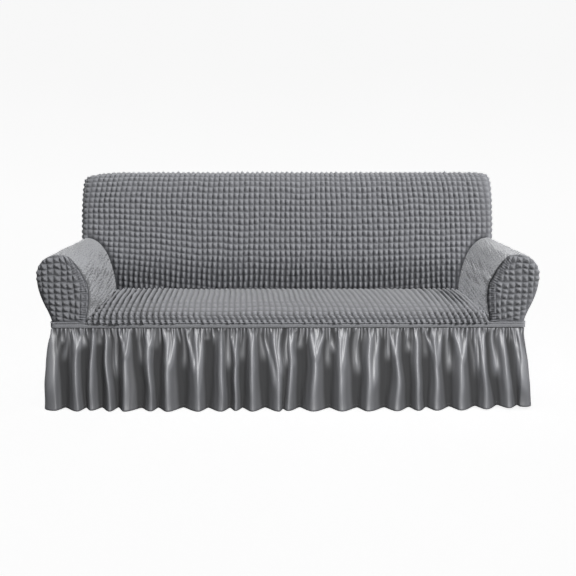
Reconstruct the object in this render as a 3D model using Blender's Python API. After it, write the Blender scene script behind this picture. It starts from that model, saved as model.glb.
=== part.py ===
"""Fitted stretch cover for a three-seat sofa with rolled arms, empty and standing as it fits.

The origin is on the floor under the middle of the footprint, +Z is up and the front faces -Y.
Every sheet is laid out on the outer face of the cloth and thickened inward.
"""

import math

import bmesh
import bpy
import numpy as np

# Cloth and seams, in metres.
BODY_CLOTH = 0.003
SKIRT_CLOTH = 0.002
SEAM_GAP = 0.0003
TUCK_GAP = 0.0012
JOIN_GAP = 0.0003
MERGE = 0.00002

# The outline at the waist, which the band and the skirt follow.
WAIST_HALF_WIDTH = 1.000
WAIST_HALF_DEPTH = 0.445
WAIST_CORNER = 0.013
WAIST_ARC = WAIST_CORNER * math.pi / 2
WAIST_CORNER_STEPS = 3
WAIST_STEP = 0.160

# The band: heights above the floor, and distances out from the waist.
BAND_BOTTOM = 0.352
BAND_TOP = 0.371
PIPING_HEIGHT = 0.3743
PIPING_RADIUS = 0.003
PIPING_OUT = 0.0042
PIPING_SIDES = 8
BAND_INNER = 0.0004
BAND_OUTER = 0.0035
BAND_BULGE = 0.0045

# Horizontal sections through the back, from the tuck behind the seat to the top line:
# height, front face, rear face, half width, corner radius. Depths count back from the arm fronts.
BACK_SECTIONS = np.array(
    [
        (0.363, 0.622, 0.890, 0.9999, 0.013),
        (0.400, 0.620, 0.890, 0.9999, 0.015),
        (0.470, 0.619, 0.890, 1.0003, 0.020),
        (0.540, 0.622, 0.890, 1.0010, 0.024),
        (0.600, 0.629, 0.889, 1.0020, 0.028),
        (0.648, 0.636, 0.888, 1.0030, 0.030),
        (0.740, 0.654, 0.887, 1.0035, 0.032),
        (0.820, 0.673, 0.885, 1.0035, 0.036),
        (0.872, 0.689, 0.882, 1.0030, 0.042),
        (0.908, 0.704, 0.872, 1.0015, 0.046),
        (0.931, 0.721, 0.857, 0.9970, 0.046),
        (0.944, 0.742, 0.838, 0.9870, 0.040),
        (0.949, 0.786, 0.786, 0.9460, 0.000),
    ]
)
BACK_ARM_LEVEL = 4
BACK_REAR_SEAM_LEVEL = 7
BACK_COLUMNS = 16
BACK_CORNER_STEPS = 3
BACK_SIDE_STEPS = 2
BACK_LAP = 0.006
SHOULDER_DROP = 0.016
SHOULDER_LENGTH = 0.22
REAR_CORNER = 0.014
REAR_HEM = 0.006

# The rolled arm, from the waist outside, over the top, to the tuck inside: distance from the
# middle and height, at the front panel and where the arm meets the back.
ARM_PROFILE = np.array(
    [
        (0.9999, 0.363, 0.9999, 0.363),
        (1.0000, 0.380, 0.9999, 0.380),
        (1.0120, 0.418, 1.0000, 0.418),
        (1.0290, 0.455, 1.0002, 0.455),
        (1.0430, 0.495, 1.0007, 0.495),
        (1.0510, 0.532, 1.0013, 0.532),
        (1.0530, 0.562, 1.0018, 0.562),
        (1.0500, 0.592, 1.0022, 0.590),
        (1.0400, 0.618, 1.0015, 0.612),
        (1.0220, 0.640, 0.9985, 0.630),
        (0.9970, 0.655, 0.9900, 0.643),
        (0.9650, 0.662, 0.9730, 0.648),
        (0.9330, 0.659, 0.9500, 0.643),
        (0.9060, 0.643, 0.9230, 0.628),
        (0.8800, 0.610, 0.8980, 0.602),
        (0.8560, 0.568, 0.8770, 0.567),
        (0.8400, 0.530, 0.8620, 0.527),
        (0.8370, 0.490, 0.8510, 0.485),
        (0.8420, 0.440, 0.8440, 0.440),
        (0.8500, 0.398, 0.8410, 0.405),
        (0.8530, 0.372, 0.8400, 0.376),
    ]
)
ARM_TOP_ROW = 11
ARM_STATIONS = (0.0, 0.05, 0.25, 0.5, 0.72, 0.86, 0.95, 1.0)
ARM_PANEL_SEAM = 0.013
ARM_PANEL_ROLL = 0.030
ARM_PANEL_COLUMNS = 8

# The seat from the band, over its front edge, to the tuck at the back: depth, height and how
# much of its side edges is curled down.
SEAT_PROFILE = np.array(
    [
        (0.0000, 0.363, 0.04),
        (0.0000, 0.373, 0.04),
        (0.0015, 0.380, 0.08),
        (0.0070, 0.386, 0.2),
        (0.0190, 0.391, 0.5),
        (0.0420, 0.395, 0.9),
        (0.0850, 0.399, 1.0),
        (0.1500, 0.402, 1.0),
        (0.2500, 0.404, 1.0),
        (0.4000, 0.404, 1.0),
        (0.5200, 0.402, 1.0),
        (0.5850, 0.399, 1.0),
        (0.6080, 0.392, 0.8),
        (0.6165, 0.376, 0.4),
    ]
)
SEAT_CROWN = 0.008
# Across the seat, as a share of its half width: where the cloth curls down beside the arms.
SEAT_COLUMNS = (0.0, 0.18, 0.36, 0.54, 0.72, 0.86, 0.94, 0.98, 0.995, 1.0)
SEAT_CURL = (0.0, 0.0, 0.0, 0.0, 0.0, 0.001, 0.003, 0.008, 0.016, 0.026)

# Gathered folds of the front skirt, left to right: crest at the band and at the hem, how far it
# stands out at the hem, the valley to its right at the band and at the hem, how far that lies in.
FRONT_FOLDS = np.array(
    [
        (-0.997, -0.999, 0.020, -0.955, -0.955, 0.016),
        (-0.899, -0.894, 0.022, -0.865, -0.865, 0.016),
        (-0.826, -0.839, 0.012, -0.797, -0.797, 0.020),
        (-0.771, -0.758, 0.020, -0.737, -0.729, 0.024),
        (-0.686, -0.694, 0.021, -0.639, -0.626, 0.018),
        (-0.588, -0.584, 0.017, -0.550, -0.558, 0.022),
        (-0.511, -0.511, 0.022, -0.452, -0.448, 0.024),
        (-0.388, -0.380, 0.021, -0.337, -0.341, 0.020),
        (-0.286, -0.286, 0.021, -0.252, -0.252, 0.018),
        (-0.218, -0.226, 0.012, -0.188, -0.197, 0.020),
        (-0.150, -0.150, 0.021, -0.116, -0.099, 0.021),
        (-0.060, -0.039, 0.021, -0.009, -0.022, 0.004),
        (0.020, -0.001, 0.014, 0.059, 0.050, 0.024),
        (0.118, 0.106, 0.022, 0.174, 0.174, 0.018),
        (0.220, 0.225, 0.022, 0.293, 0.293, 0.020),
        (0.344, 0.340, 0.022, 0.416, 0.416, 0.020),
        (0.459, 0.463, 0.021, 0.497, 0.514, 0.020),
        (0.540, 0.552, 0.020, 0.578, 0.591, 0.018),
        (0.620, 0.633, 0.020, 0.667, 0.689, 0.022),
        (0.718, 0.740, 0.022, 0.765, 0.803, 0.018),
        (0.812, 0.842, 0.020, 0.854, 0.893, 0.020),
        (0.897, 0.944, 0.018, 0.931, 0.978, 0.006),
        (0.976, 0.997, 0.022, 1.024, 1.024, 0.012),
    ]
)
# Each row of the skirt: height, share of the full fold, how far the cloth has swung out, how
# far its folds have moved from their places at the band to those at the hem.
SKIRT_ROWS = np.array(
    [
        (0.3610, 0.05, -0.0025, 0.0),
        (0.3508, 0.07, -0.0030, 0.0),
        (0.2850, 0.48, 0.0065, 0.2),
        (0.2200, 0.70, 0.0125, 0.4),
        (0.1200, 0.90, 0.0200, 0.7),
        (0.0010, 1.00, 0.0270, 1.0),
    ]
)
HEM_RISE = 0.005
FRONT_START = -1.048
REAR_WRAP = 0.012
FRONT_PHASES = (-1.0, -0.72, -0.46, -0.22, 0.0, 0.22, 0.46, 0.72)
PLAIN_PHASES = (-1.0, -0.6, -0.26, 0.0, 0.26, 0.6)
JOIN_FALL = 0.012
JOIN_FLAT = 0.004
SIDE_FOLD_PITCH = 0.078
REAR_FOLD_PITCH = 0.085
FOLD_LEAN = 0.010
FOLD_DEPTH = 0.020
SKIRT_SEED = 11

# Surface colours, linear red, green and blue.
PUFFED_KNIT = (0.262, 0.270, 0.284)
SLEEVE_KNIT = (0.300, 0.308, 0.322)
BAND_ELASTIC = (0.240, 0.247, 0.259)
SKIRT_SATIN = (0.216, 0.223, 0.235)


def clear_scene():
    """Remove every object of the startup scene."""
    for obj in list(bpy.data.objects):
        bpy.data.objects.remove(obj, do_unlink=True)


def cloth(name, colour, roughness):
    """One Principled material per kind of cloth."""
    material = bpy.data.materials.new(name)
    material.use_nodes = True
    shader = material.node_tree.nodes["Principled BSDF"]
    shader.inputs["Base Color"].default_value = (*colour, 1.0)
    shader.inputs["Roughness"].default_value = roughness
    shader.inputs["Metallic"].default_value = 0.0
    return material


def add_object(name, work, material):
    """Turn a finished bmesh into an object of the scene."""
    mesh = bpy.data.meshes.new(name)
    work.to_mesh(mesh)
    work.free()
    mesh.materials.append(material)
    obj = bpy.data.objects.new(name, mesh)
    bpy.context.scene.collection.objects.link(obj)
    return obj


def welded(points, faces):
    """A bmesh of these points and faces, with double points joined and empty faces gone."""
    work = bmesh.new()
    verts = [work.verts.new(point) for point in points]
    for face in faces:
        work.faces.new([verts[k] for k in face])
    bmesh.ops.remove_doubles(work, verts=work.verts, dist=MERGE)
    bmesh.ops.dissolve_degenerate(work, edges=work.edges, dist=MERGE)
    loose = [v for v in work.verts if not v.link_faces]
    bmesh.ops.delete(work, geom=loose, context="VERTS")
    work.normal_update()
    return work


def add_sheet(name, grid, material, thickness, keep=None, out_share=0.0, rear_limit=None):
    """Lay cloth over a grid of points and thicken it; rows run left to right seen from outside.

    out_share is the part of the thickness outside the grid. Nothing lies behind rear_limit.
    """
    rows, columns = grid.shape[:2]
    faces = []
    for r in range(rows - 1):
        for c in range(columns - 1):
            if keep is None or keep[r, c]:
                corner = r * columns + c
                faces.append((corner, corner + 1, corner + columns + 1, corner + columns))
    work = welded(grid.reshape(-1, 3), faces)
    # Both walls of the cloth bend along the same lines.
    bmesh.ops.triangulate(work, faces=work.faces, quad_method="SHORT_EDGE")
    outer = list(work.verts)
    edges = [loop for face in work.faces for loop in face.loops if loop.edge.is_boundary]
    rims = [(loop.vert, loop.link_loop_next.vert) for loop in edges]
    shells = [list(face.verts) for face in work.faces]
    steps = [v.normal * v.calc_shell_factor() * thickness for v in outer]
    inner = {}
    for vert, step in zip(outer, steps):
        inside = vert.co - step * (1.0 - out_share)
        if rear_limit is not None:
            inside.y = min(inside.y, rear_limit)
        inner[vert] = work.verts.new(inside)
    for vert, step in zip(outer, steps):
        vert.co += step * out_share
    for shell in shells:
        work.faces.new([inner[v] for v in reversed(shell)])
    for first, second in rims:
        work.faces.new((second, first, inner[first], inner[second]))
    return add_object(name, work, material)


def placed(x, depth, z):
    """A point from its distance across, its depth behind the arm fronts and its height."""
    return np.stack(np.broadcast_arrays(x, np.asarray(depth) - WAIST_HALF_DEPTH, z), axis=-1)


def rounded_corner(centre_x, centre_depth, radius, start, steps):
    """Points of a quarter turn in plan, counterclockwise, its two ends included."""
    angles = np.radians(start) + np.linspace(0.0, math.pi / 2, steps + 1)
    return centre_x + radius * np.cos(angles), centre_depth + radius * np.sin(angles)


def shoulder(x, share):
    """How far the top of the back sags at its left end."""
    along = np.clip((-x - (WAIST_HALF_WIDTH - SHOULDER_LENGTH)) / SHOULDER_LENGTH, 0.0, 1.0)
    return SHOULDER_DROP * share * along**2


def back_front_depth(x, z):
    """Depth of the face of the back at a height, round its corners too."""
    front = np.interp(z, BACK_SECTIONS[:, 0], BACK_SECTIONS[:, 1])
    half = np.interp(z, BACK_SECTIONS[:, 0], BACK_SECTIONS[:, 3])
    radius = np.interp(z, BACK_SECTIONS[:, 0], BACK_SECTIONS[:, 4])
    past = np.clip(np.abs(x) - (half - radius), 0.0, radius)
    return front + radius - np.sqrt(radius**2 - past**2)


def arm_inner(z):
    """Distance of the inside of the arm from the middle, where it meets the back."""
    rows = ARM_PROFILE[ARM_TOP_ROW:]
    return np.interp(z, rows[::-1, 3], rows[::-1, 2])


def back_ring(level):
    """One section through the back, counterclockwise from the middle of its right side."""
    z, front, rear, half, radius = BACK_SECTIONS[level]
    closing = level == len(BACK_SECTIONS) - 1
    face = arm_inner(z) + BACK_LAP if level < BACK_ARM_LEVEL else half - radius
    back_radius = 0.0 if closing else REAR_CORNER
    across = np.linspace(-1.0, 1.0, BACK_COLUMNS + 1)
    right_front = rounded_corner(half - radius, front + radius, radius, 270, BACK_CORNER_STEPS)
    right_rear = rounded_corner(
        half - back_radius, rear - back_radius, back_radius, 0, BACK_CORNER_STEPS
    )
    side = np.linspace(front + radius, rear - back_radius, BACK_SIDE_STEPS + 1)[1:-1]
    right_x = np.concatenate([right_front[0], np.full(len(side), half), right_rear[0]])
    right_depth = np.concatenate([right_front[1], side, right_rear[1]])
    rear_half = half - back_radius - (0.0 if closing else REAR_HEM)
    xs = np.concatenate([across * face, right_x, -across * rear_half, -right_x[::-1]])
    depths = np.concatenate(
        [
            np.full(len(across), front),
            right_depth,
            np.full(len(across), rear),
            right_depth[::-1],
        ]
    )
    share = level / (len(BACK_SECTIONS) - 1)
    return placed(xs, depths, z - shoulder(xs, share**2))


def build_back(material):
    """The puffed hood over the back: its face, its ends and its rounded top."""
    rings = np.array([back_ring(level) for level in range(len(BACK_SECTIONS))])
    rings = np.concatenate([rings, rings[:, :1]], axis=1)
    levels, columns = rings.shape[0] - 1, rings.shape[1] - 1
    keep = np.ones((levels, columns), bool)
    face = BACK_COLUMNS
    end = face + 1 + 2 * (BACK_CORNER_STEPS + 1) + BACK_SIDE_STEPS - 1
    rear_end = end + BACK_COLUMNS
    # The arms pass through here.
    keep[:BACK_ARM_LEVEL, [face, columns - 1]] = False
    # The plain panel behind closes this side.
    keep[:BACK_REAR_SEAM_LEVEL, end:rear_end] = False
    return add_sheet("back_hood", rings, material, BODY_CLOTH, keep)


def build_rear(material):
    """The flat outside back, seamed to the hood along its top and its two ends."""
    sections = BACK_SECTIONS[: BACK_REAR_SEAM_LEVEL + 1]
    across = np.linspace(1.0, -1.0, BACK_COLUMNS + 1)
    rows = []
    for level, (z, _, rear, half, _) in enumerate(sections):
        share = (level / (len(BACK_SECTIONS) - 1)) ** 2
        xs = across * (half - REAR_CORNER - REAR_HEM - SEAM_GAP)
        top_gap = 2 * SEAM_GAP if level == BACK_REAR_SEAM_LEVEL else 0.0
        rows.append(placed(xs, rear, z - shoulder(xs, share) - top_gap))
    return add_sheet("back_rear_panel", np.array(rows), material, BODY_CLOTH)


def build_seat(material):
    """The seat: over its front edge to the band, and curled down beside the arms."""
    shares = np.concatenate([-np.array(SEAT_COLUMNS)[:0:-1], SEAT_COLUMNS])
    curl = np.concatenate([np.array(SEAT_CURL)[:0:-1], SEAT_CURL])
    slope = np.gradient(SEAT_PROFILE[:, :2], axis=0)
    slope /= np.linalg.norm(slope, axis=1)[:, None]
    length = SEAT_PROFILE[-1, 0]
    rows = []
    for (depth, z, curled), (forward, upward) in zip(SEAT_PROFILE, slope):
        inner_front, inner_back = ARM_PROFILE[-2, 0], ARM_PROFILE[-2, 2]
        drawn_in = arm_turn(depth / length)
        half = inner_front + (inner_back - inner_front) * drawn_in - TUCK_GAP
        crown = SEAT_CROWN * math.sin(math.pi * depth / length) * (1.0 - shares**2)
        xs = shares * half
        down = curl * curled
        rows.append(placed(xs, depth + down * upward, z + crown - down * forward))
    return add_sheet("seat_cover", np.array(rows), material, BODY_CLOTH)


def arm_turn(station):
    """How far the arm has drawn in to its width at the back."""
    return station**3 * (4.0 - 3.0 * station)


def arm_point(side, station):
    """One section of the arm between the front seam and the back."""
    x_front, z_front, x_back, z_back = ARM_PROFILE.T
    x = x_front + (x_back - x_front) * arm_turn(station)
    z = z_front + (z_back - z_front) * station
    start = ARM_PANEL_SEAM + SEAM_GAP
    stop = back_front_depth(x_back - BODY_CLOTH - SEAM_GAP, z_back) - TUCK_GAP
    return placed(side * x, start + (stop - start) * station, z)


def build_sleeve(name, side, material):
    """The smoother sleeve over one arm, from the seam of its front panel to the back."""
    grid = np.array([arm_point(side, station) for station in ARM_STATIONS])
    if side > 0:
        grid = grid[:, ::-1]
    return add_sheet(name, grid, material, BODY_CLOTH)


def distance_to_line(points, line):
    """Distance of each point from a polyline, in plan."""
    starts, ends = line[:-1], line[1:]
    along = ends - starts
    offset = points[:, None, :] - starts[None]
    share = np.clip((offset * along).sum(-1) / (along**2).sum(-1), 0.0, 1.0)
    nearest = starts[None] + share[..., None] * along[None]
    return np.linalg.norm(points[:, None, :] - nearest, axis=-1).min(axis=1)


def build_arm_front(name, side, material):
    """The puffed front panel of one arm, rolled back into its seam."""
    outline = ARM_PROFILE[:, :2]
    outer = outline[: ARM_TOP_ROW + 1]
    inner = outline[: ARM_TOP_ROW - 1 : -1]
    steps = np.linspace(0.0, 1.0, len(outer))
    inner_steps = np.linspace(0.0, 1.0, len(inner))
    inner = np.stack([np.interp(steps, inner_steps, inner[:, k]) for k in range(2)], axis=1)
    inner[0, 1] = outer[0, 1]
    across = np.linspace(0.0, 1.0, ARM_PANEL_COLUMNS + 1)
    across = 0.5 - 0.5 * np.cos(math.pi * across)
    grid = inner[:, None] + (outer - inner)[:, None] * across[None, :, None]
    away = np.clip(distance_to_line(grid.reshape(-1, 2), outline) / ARM_PANEL_ROLL, 0.0, 1.0)
    depth = ARM_PANEL_SEAM * (1.0 - np.sqrt(1.0 - (1.0 - away) ** 2)).reshape(grid.shape[:2])
    points = placed(side * grid[..., 0], depth, grid[..., 1])
    if side < 0:
        points = points[:, ::-1]
    seam = ARM_PANEL_SEAM - WAIST_HALF_DEPTH
    return add_sheet(name, points, material, BODY_CLOTH, rear_limit=seam)


def waist_legs():
    """The four straight sides of the waist, from the front: length, heading and the turn's centre."""
    x, y = WAIST_HALF_WIDTH - WAIST_CORNER, WAIST_HALF_DEPTH - WAIST_CORNER
    return (
        (2 * x, -90.0, (x, -y)),
        (2 * y, 0.0, (x, y)),
        (2 * x, 90.0, (-x, y)),
        (2 * y, 180.0, (-x, -y)),
    )


def waist_place(lengths):
    """Points and outward directions at lengths along the waist; 0 is the middle of the front."""
    legs = waist_legs()
    total = sum(leg for leg, _, _ in legs) + 4 * WAIST_ARC
    points, outward = [], []
    for length in np.mod(lengths + WAIST_HALF_WIDTH - WAIST_CORNER, total):
        for leg, heading, centre in legs:
            back = max(leg - length, 0.0)
            turned = min(max(length - leg, 0.0), WAIST_ARC) / WAIST_ARC
            if length <= leg + WAIST_ARC:
                angle = math.radians(heading + 90.0 * turned)
                direction = np.array([math.cos(angle), math.sin(angle)])
                along = np.array([-direction[1], direction[0]])
                points.append(np.array(centre) - along * back + direction * WAIST_CORNER)
                outward.append(direction)
                break
            length -= leg + WAIST_ARC
    return np.array(points), np.array(outward)


def waist_stations():
    """Lengths along the waist at which the band bends or is divided."""
    stations = []
    at = WAIST_CORNER - WAIST_HALF_WIDTH
    for leg, _, _ in waist_legs():
        steps = round(leg / WAIST_STEP)
        stations.extend(np.linspace(at, at + leg, steps, endpoint=False))
        at += leg
        stations.extend(np.linspace(at, at + WAIST_ARC, WAIST_CORNER_STEPS, endpoint=False))
        at += WAIST_ARC
    return np.array(stations)


def add_ring(name, section, material):
    """Carry a closed section, given as (out, height) pairs, once round the waist."""
    points, outward = waist_place(waist_stations())
    sides, count = len(section), len(points)
    rings = []
    for out, z in section:
        flat = points + outward * out
        rings.append(np.column_stack([flat, np.full(count, z)]))
    faces = []
    for k in range(sides):
        for c in range(count):
            ahead = (c + 1) % count
            other = (k + 1) % sides
            faces.append((k * count + c, k * count + ahead, other * count + ahead, other * count + c))
    return add_object(name, welded(np.concatenate(rings), faces), material)


def build_waistband(material):
    """The elastic tape over the seam of body and skirt, a little rounded on its face."""
    middle = (BAND_BOTTOM + BAND_TOP) / 2
    section = (
        (BAND_INNER, BAND_BOTTOM),
        (BAND_OUTER, BAND_BOTTOM),
        (BAND_BULGE, middle),
        (BAND_OUTER, BAND_TOP),
        (BAND_INNER, BAND_TOP),
    )
    return add_ring("waistband", section, material)


def build_piping(material):
    """The thin cord edge along the top of the tape."""
    angles = [2 * math.pi * k / PIPING_SIDES for k in range(PIPING_SIDES)]
    section = [
        (PIPING_OUT + PIPING_RADIUS * math.cos(a), PIPING_HEIGHT + PIPING_RADIUS * math.sin(a))
        for a in angles
    ]
    return add_ring("waist_piping", section, material)


def ruled_folds(low, high, pitch, generator):
    """Folds for a length of skirt, uneven in pitch, depth and lean; columns as in FRONT_FOLDS."""
    count = max(3, round((high - low) / pitch))
    widths = generator.uniform(0.7, 1.3, count)
    edges = low + (high - low) * np.concatenate([[0.0], np.cumsum(widths)]) / widths.sum()
    crests = edges[:-1] + np.diff(edges) * generator.uniform(0.4, 0.6, count)
    rises = FOLD_DEPTH * generator.uniform(0.75, 1.15, count)
    falls = FOLD_DEPTH * generator.uniform(0.6, 1.2, count)
    falls[-1] = JOIN_FALL
    leans = FOLD_LEAN * generator.uniform(-1.0, 1.0, count + 1)
    leans[-1] = 0.0
    valley_leans = (leans[:-1] + leans[1:]) / 2
    valley_leans[-1] = 0.0
    valleys = edges[1:]
    return np.column_stack(
        [crests, crests + leans[:-1], rises, valleys, valleys + valley_leans, falls]
    )


def fold_stations(folds, low, phases):
    """Where the columns lie at the band and at the hem, and how far each stands out there."""
    places, outs = [(low, low)], [-JOIN_FALL]
    left, left_fall = np.array([low, low]) + JOIN_FLAT, JOIN_FALL
    for crest_top, crest_hem, rise, valley_top, valley_hem, fall in folds:
        crest, right = np.array([crest_top, crest_hem]), np.array([valley_top, valley_hem])
        for phase in phases:
            reach, depth = (crest - left, left_fall) if phase < 0 else (right - crest, fall)
            bump = 0.5 + 0.5 * math.cos(math.pi * phase)
            places.append(crest + phase * reach)
            outs.append(bump * rise - (1.0 - bump) * depth)
        left, left_fall = right, fall
    places += [left - JOIN_FLAT, left]
    outs += [-left_fall, -left_fall]
    return np.array(places).T, np.array(outs)


def build_skirt(name, folds, low, phases, material):
    """One gathered length of the skirt, hanging from the band to the floor."""
    (at_band, at_hem), outs = fold_stations(folds, low, phases)
    for places in (at_band, at_hem):
        places[0] += JOIN_GAP
        places[-1] -= JOIN_GAP
    rows = []
    for z, share, swing, moved in SKIRT_ROWS[::-1]:
        points, outward = waist_place(at_band + moved * (at_hem - at_band))
        flat = points + outward * (swing + outs * share)[:, None]
        low_share = np.clip(0.5 - outs / (2 * FOLD_DEPTH), 0.0, 1.0)
        rise = HEM_RISE * low_share if moved == 1.0 else np.zeros(len(outs))
        rows.append(np.column_stack([flat, z + rise]))
    return add_sheet(name, np.array(rows), material, SKIRT_CLOTH, out_share=0.5)


def build_skirts(material):
    """Front, right, rear and left lengths; each join lies in a valley just round a corner."""
    generator = np.random.default_rng(SKIRT_SEED)
    front, right, rear, left = (leg for leg, _, _ in waist_legs())
    total = front + right + rear + left + 4 * WAIST_ARC
    front_end = FRONT_FOLDS[-1, 3]
    rear_start = front / 2 + WAIST_ARC + right - REAR_WRAP
    rear_end = front / 2 + 3 * WAIST_ARC + right + rear + REAR_WRAP
    left_end = total + FRONT_START
    build_skirt("skirt_front", FRONT_FOLDS, FRONT_START, FRONT_PHASES, material)
    lengths = (
        ("skirt_right", front_end, rear_start, SIDE_FOLD_PITCH),
        ("skirt_rear", rear_start, rear_end, REAR_FOLD_PITCH),
        ("skirt_left", rear_end, left_end, SIDE_FOLD_PITCH),
    )
    for name, low, high, pitch in lengths:
        folds = ruled_folds(low, high, pitch, generator)
        build_skirt(name, folds, low, PLAIN_PHASES, material)


def main():
    clear_scene()
    puffed = cloth("puffed_knit", PUFFED_KNIT, 0.85)
    smooth = cloth("sleeve_knit", SLEEVE_KNIT, 0.85)
    elastic = cloth("band_elastic", BAND_ELASTIC, 0.8)
    satin = cloth("skirt_satin", SKIRT_SATIN, 0.45)
    build_back(puffed)
    build_rear(puffed)
    build_seat(puffed)
    build_sleeve("arm_sleeve_left", -1.0, smooth)
    build_sleeve("arm_sleeve_right", 1.0, smooth)
    build_arm_front("arm_front_left", -1.0, puffed)
    build_arm_front("arm_front_right", 1.0, puffed)
    build_waistband(elastic)
    build_piping(elastic)
    build_skirts(satin)


main()
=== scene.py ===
"""Looks of the fitted sofa cover: puffed knit, crinkled sleeves and a gathered satin skirt.

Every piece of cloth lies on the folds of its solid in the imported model, in metres, +Z up,
with the seat opening towards -Y. Depths count back from the plane of the arm fronts.
"""

import math

import bmesh
import bpy
import numpy as np
from bpy.props import FloatProperty, FloatVectorProperty, IntProperty, PointerProperty
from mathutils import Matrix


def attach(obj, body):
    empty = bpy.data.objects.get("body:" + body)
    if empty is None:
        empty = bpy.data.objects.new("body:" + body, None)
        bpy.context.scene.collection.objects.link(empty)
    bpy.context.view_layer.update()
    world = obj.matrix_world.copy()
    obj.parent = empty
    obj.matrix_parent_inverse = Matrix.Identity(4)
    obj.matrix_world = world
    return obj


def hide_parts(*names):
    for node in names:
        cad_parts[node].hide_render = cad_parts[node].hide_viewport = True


bl_info = {
    "name": "Fitted sofa cover",
    "version": (1, 0, 0),
    "blender": (4, 5, 0),
    "location": "3D View > Sidebar > Sofa cover",
    "description": "Puffed stretch cover for a rolled-arm sofa, with a gathered skirt",
    "category": "Object",
}

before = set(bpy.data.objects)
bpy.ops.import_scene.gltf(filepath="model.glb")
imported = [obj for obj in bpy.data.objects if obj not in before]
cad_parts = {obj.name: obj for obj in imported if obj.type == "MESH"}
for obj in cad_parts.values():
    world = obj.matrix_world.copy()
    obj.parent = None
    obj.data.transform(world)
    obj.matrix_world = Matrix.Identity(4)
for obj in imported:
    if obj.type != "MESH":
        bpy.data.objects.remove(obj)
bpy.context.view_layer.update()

# Cloth and seams, in metres.
BODY_CLOTH = 0.003
SEAM_GAP = 0.0003
TUCK_GAP = 0.0012
JOIN_GAP = 0.0003

# The outline at the waist, which the tape and the skirt follow.
WAIST_HALF_WIDTH = 1.000
WAIST_HALF_DEPTH = 0.445
WAIST_CORNER = 0.013
WAIST_ARC = WAIST_CORNER * math.pi / 2

# The tape: heights above the floor, and distances out from the waist.
BAND_BOTTOM = 0.352
BAND_TOP = 0.371
BAND_INNER = 0.0004
BAND_OUTER = 0.0035
BAND_BULGE = 0.0045
TAPE_WANDER = 0.0006
PIPING_HEIGHT = 0.3743
PIPING_OUT = 0.0042
# Steps of a line round the waist.
WAIST_STEP = 0.004
# Grains: length along the line, depth and height. Ribs end short of the tape's edges.
RIB_SIZE = (0.0031, 0.0016)
RIB_SINK = 0.0004
RIB_MARGIN = 0.003
TWIST_PITCH = 0.0058
TWIST_SIZE = (0.0140, 0.0050, 0.0050)
TAPE_STITCH = (0.0050, 0.0012, 0.0010)
STITCH_MARGIN = 0.0022
STITCH_RISE = 0.0008
HEM_STITCH = (0.0050, 0.0009, 0.0009)
STITCH_SINK = 0.0002

# Sections through the back: height, front face, rear face, half width, corner radius.
BACK_SECTIONS = np.array(
    [
        (0.363, 0.622, 0.890, 0.9999, 0.013),
        (0.400, 0.620, 0.890, 0.9999, 0.015),
        (0.470, 0.619, 0.890, 1.0003, 0.020),
        (0.540, 0.622, 0.890, 1.0010, 0.024),
        (0.600, 0.629, 0.889, 1.0020, 0.028),
        (0.648, 0.636, 0.888, 1.0030, 0.030),
        (0.740, 0.654, 0.887, 1.0035, 0.032),
        (0.820, 0.673, 0.885, 1.0035, 0.036),
        (0.872, 0.689, 0.882, 1.0030, 0.042),
        (0.908, 0.704, 0.872, 1.0015, 0.046),
        (0.931, 0.721, 0.857, 0.9970, 0.046),
        (0.944, 0.742, 0.838, 0.9870, 0.040),
        (0.949, 0.786, 0.786, 0.9460, 0.000),
    ]
)
ARM_OPENING_TOP = 0.600
REAR_SEAM_LEVEL = 7
SHOULDER_DROP = 0.016
SHOULDER_LENGTH = 0.22
REAR_CORNER = 0.014
REAR_HEM = 0.006

# Puffs round the hood, from the left end of its face: how many, by part of the ring.
HOOD_FACE = 77
HOOD_CORNER = 2
HOOD_END = 7
HOOD_REAR_CORNER = 1
# Rows of puffs down from the top line: those on the roll, all of them, and the height at
# which the seat hides the rest.
ROLL_ROWS = 4
ROLL_PITCH = 0.025
HOOD_ROWS = 24
HIDDEN_BELOW = 0.405
REAR_ROWS = 7
REAR_PITCH = 0.0283
REAR_PANEL_ROWS = 16
# How unevenly the lines between puffs wander, sideways and then upwards: how much, over what
# distance and a seed.
HOOD_WANDER = (((0.10, 14, 21), (0.07, 5, 23)), ((0.08, 12, 22), (0.06, 5, 24)))
REAR_WANDER = (((0.005, 14, 32),), ((0.005, 12, 31),))
SEAT_WANDER = (((0.004, 14, 42),), ((0.16, 12, 41), (0.12, 4, 43)))
ARM_WANDER = (((0.15, 0.09, 52),), ((0.20, 0.09, 51),))
# A puff on the cloth's own map, the size at which it has its whole height, and how much of
# that is left where the cloth is stretched hardest.
PUFF_WIDE = 0.0255
PUFF_TALL = 0.0300
REAR_PUFF_TALL = 0.0285
FULL_PUFF = 0.022
STRETCHED_RELIEF = 0.62
# The face is drawn into the seat from this height down, over this length, and into a crease
# of this width beside a sleeve. The edge of the arm opening lies this far inside the sleeve.
TUCK_TOP = 0.60
TUCK_REACH = 0.16
SLEEVE_CREASE = 0.017
ARM_OPENING_HEM = 0.012
# How far apart the rows are pulled along the back: distance from the middle, pitch.
ROW_PITCH = np.array(
    [
        (-1.00, 0.0263),
        (-0.75, 0.0278),
        (-0.30, 0.0310),
        (0.30, 0.0312),
        (0.75, 0.0298),
        (1.00, 0.0293),
    ]
)

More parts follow.
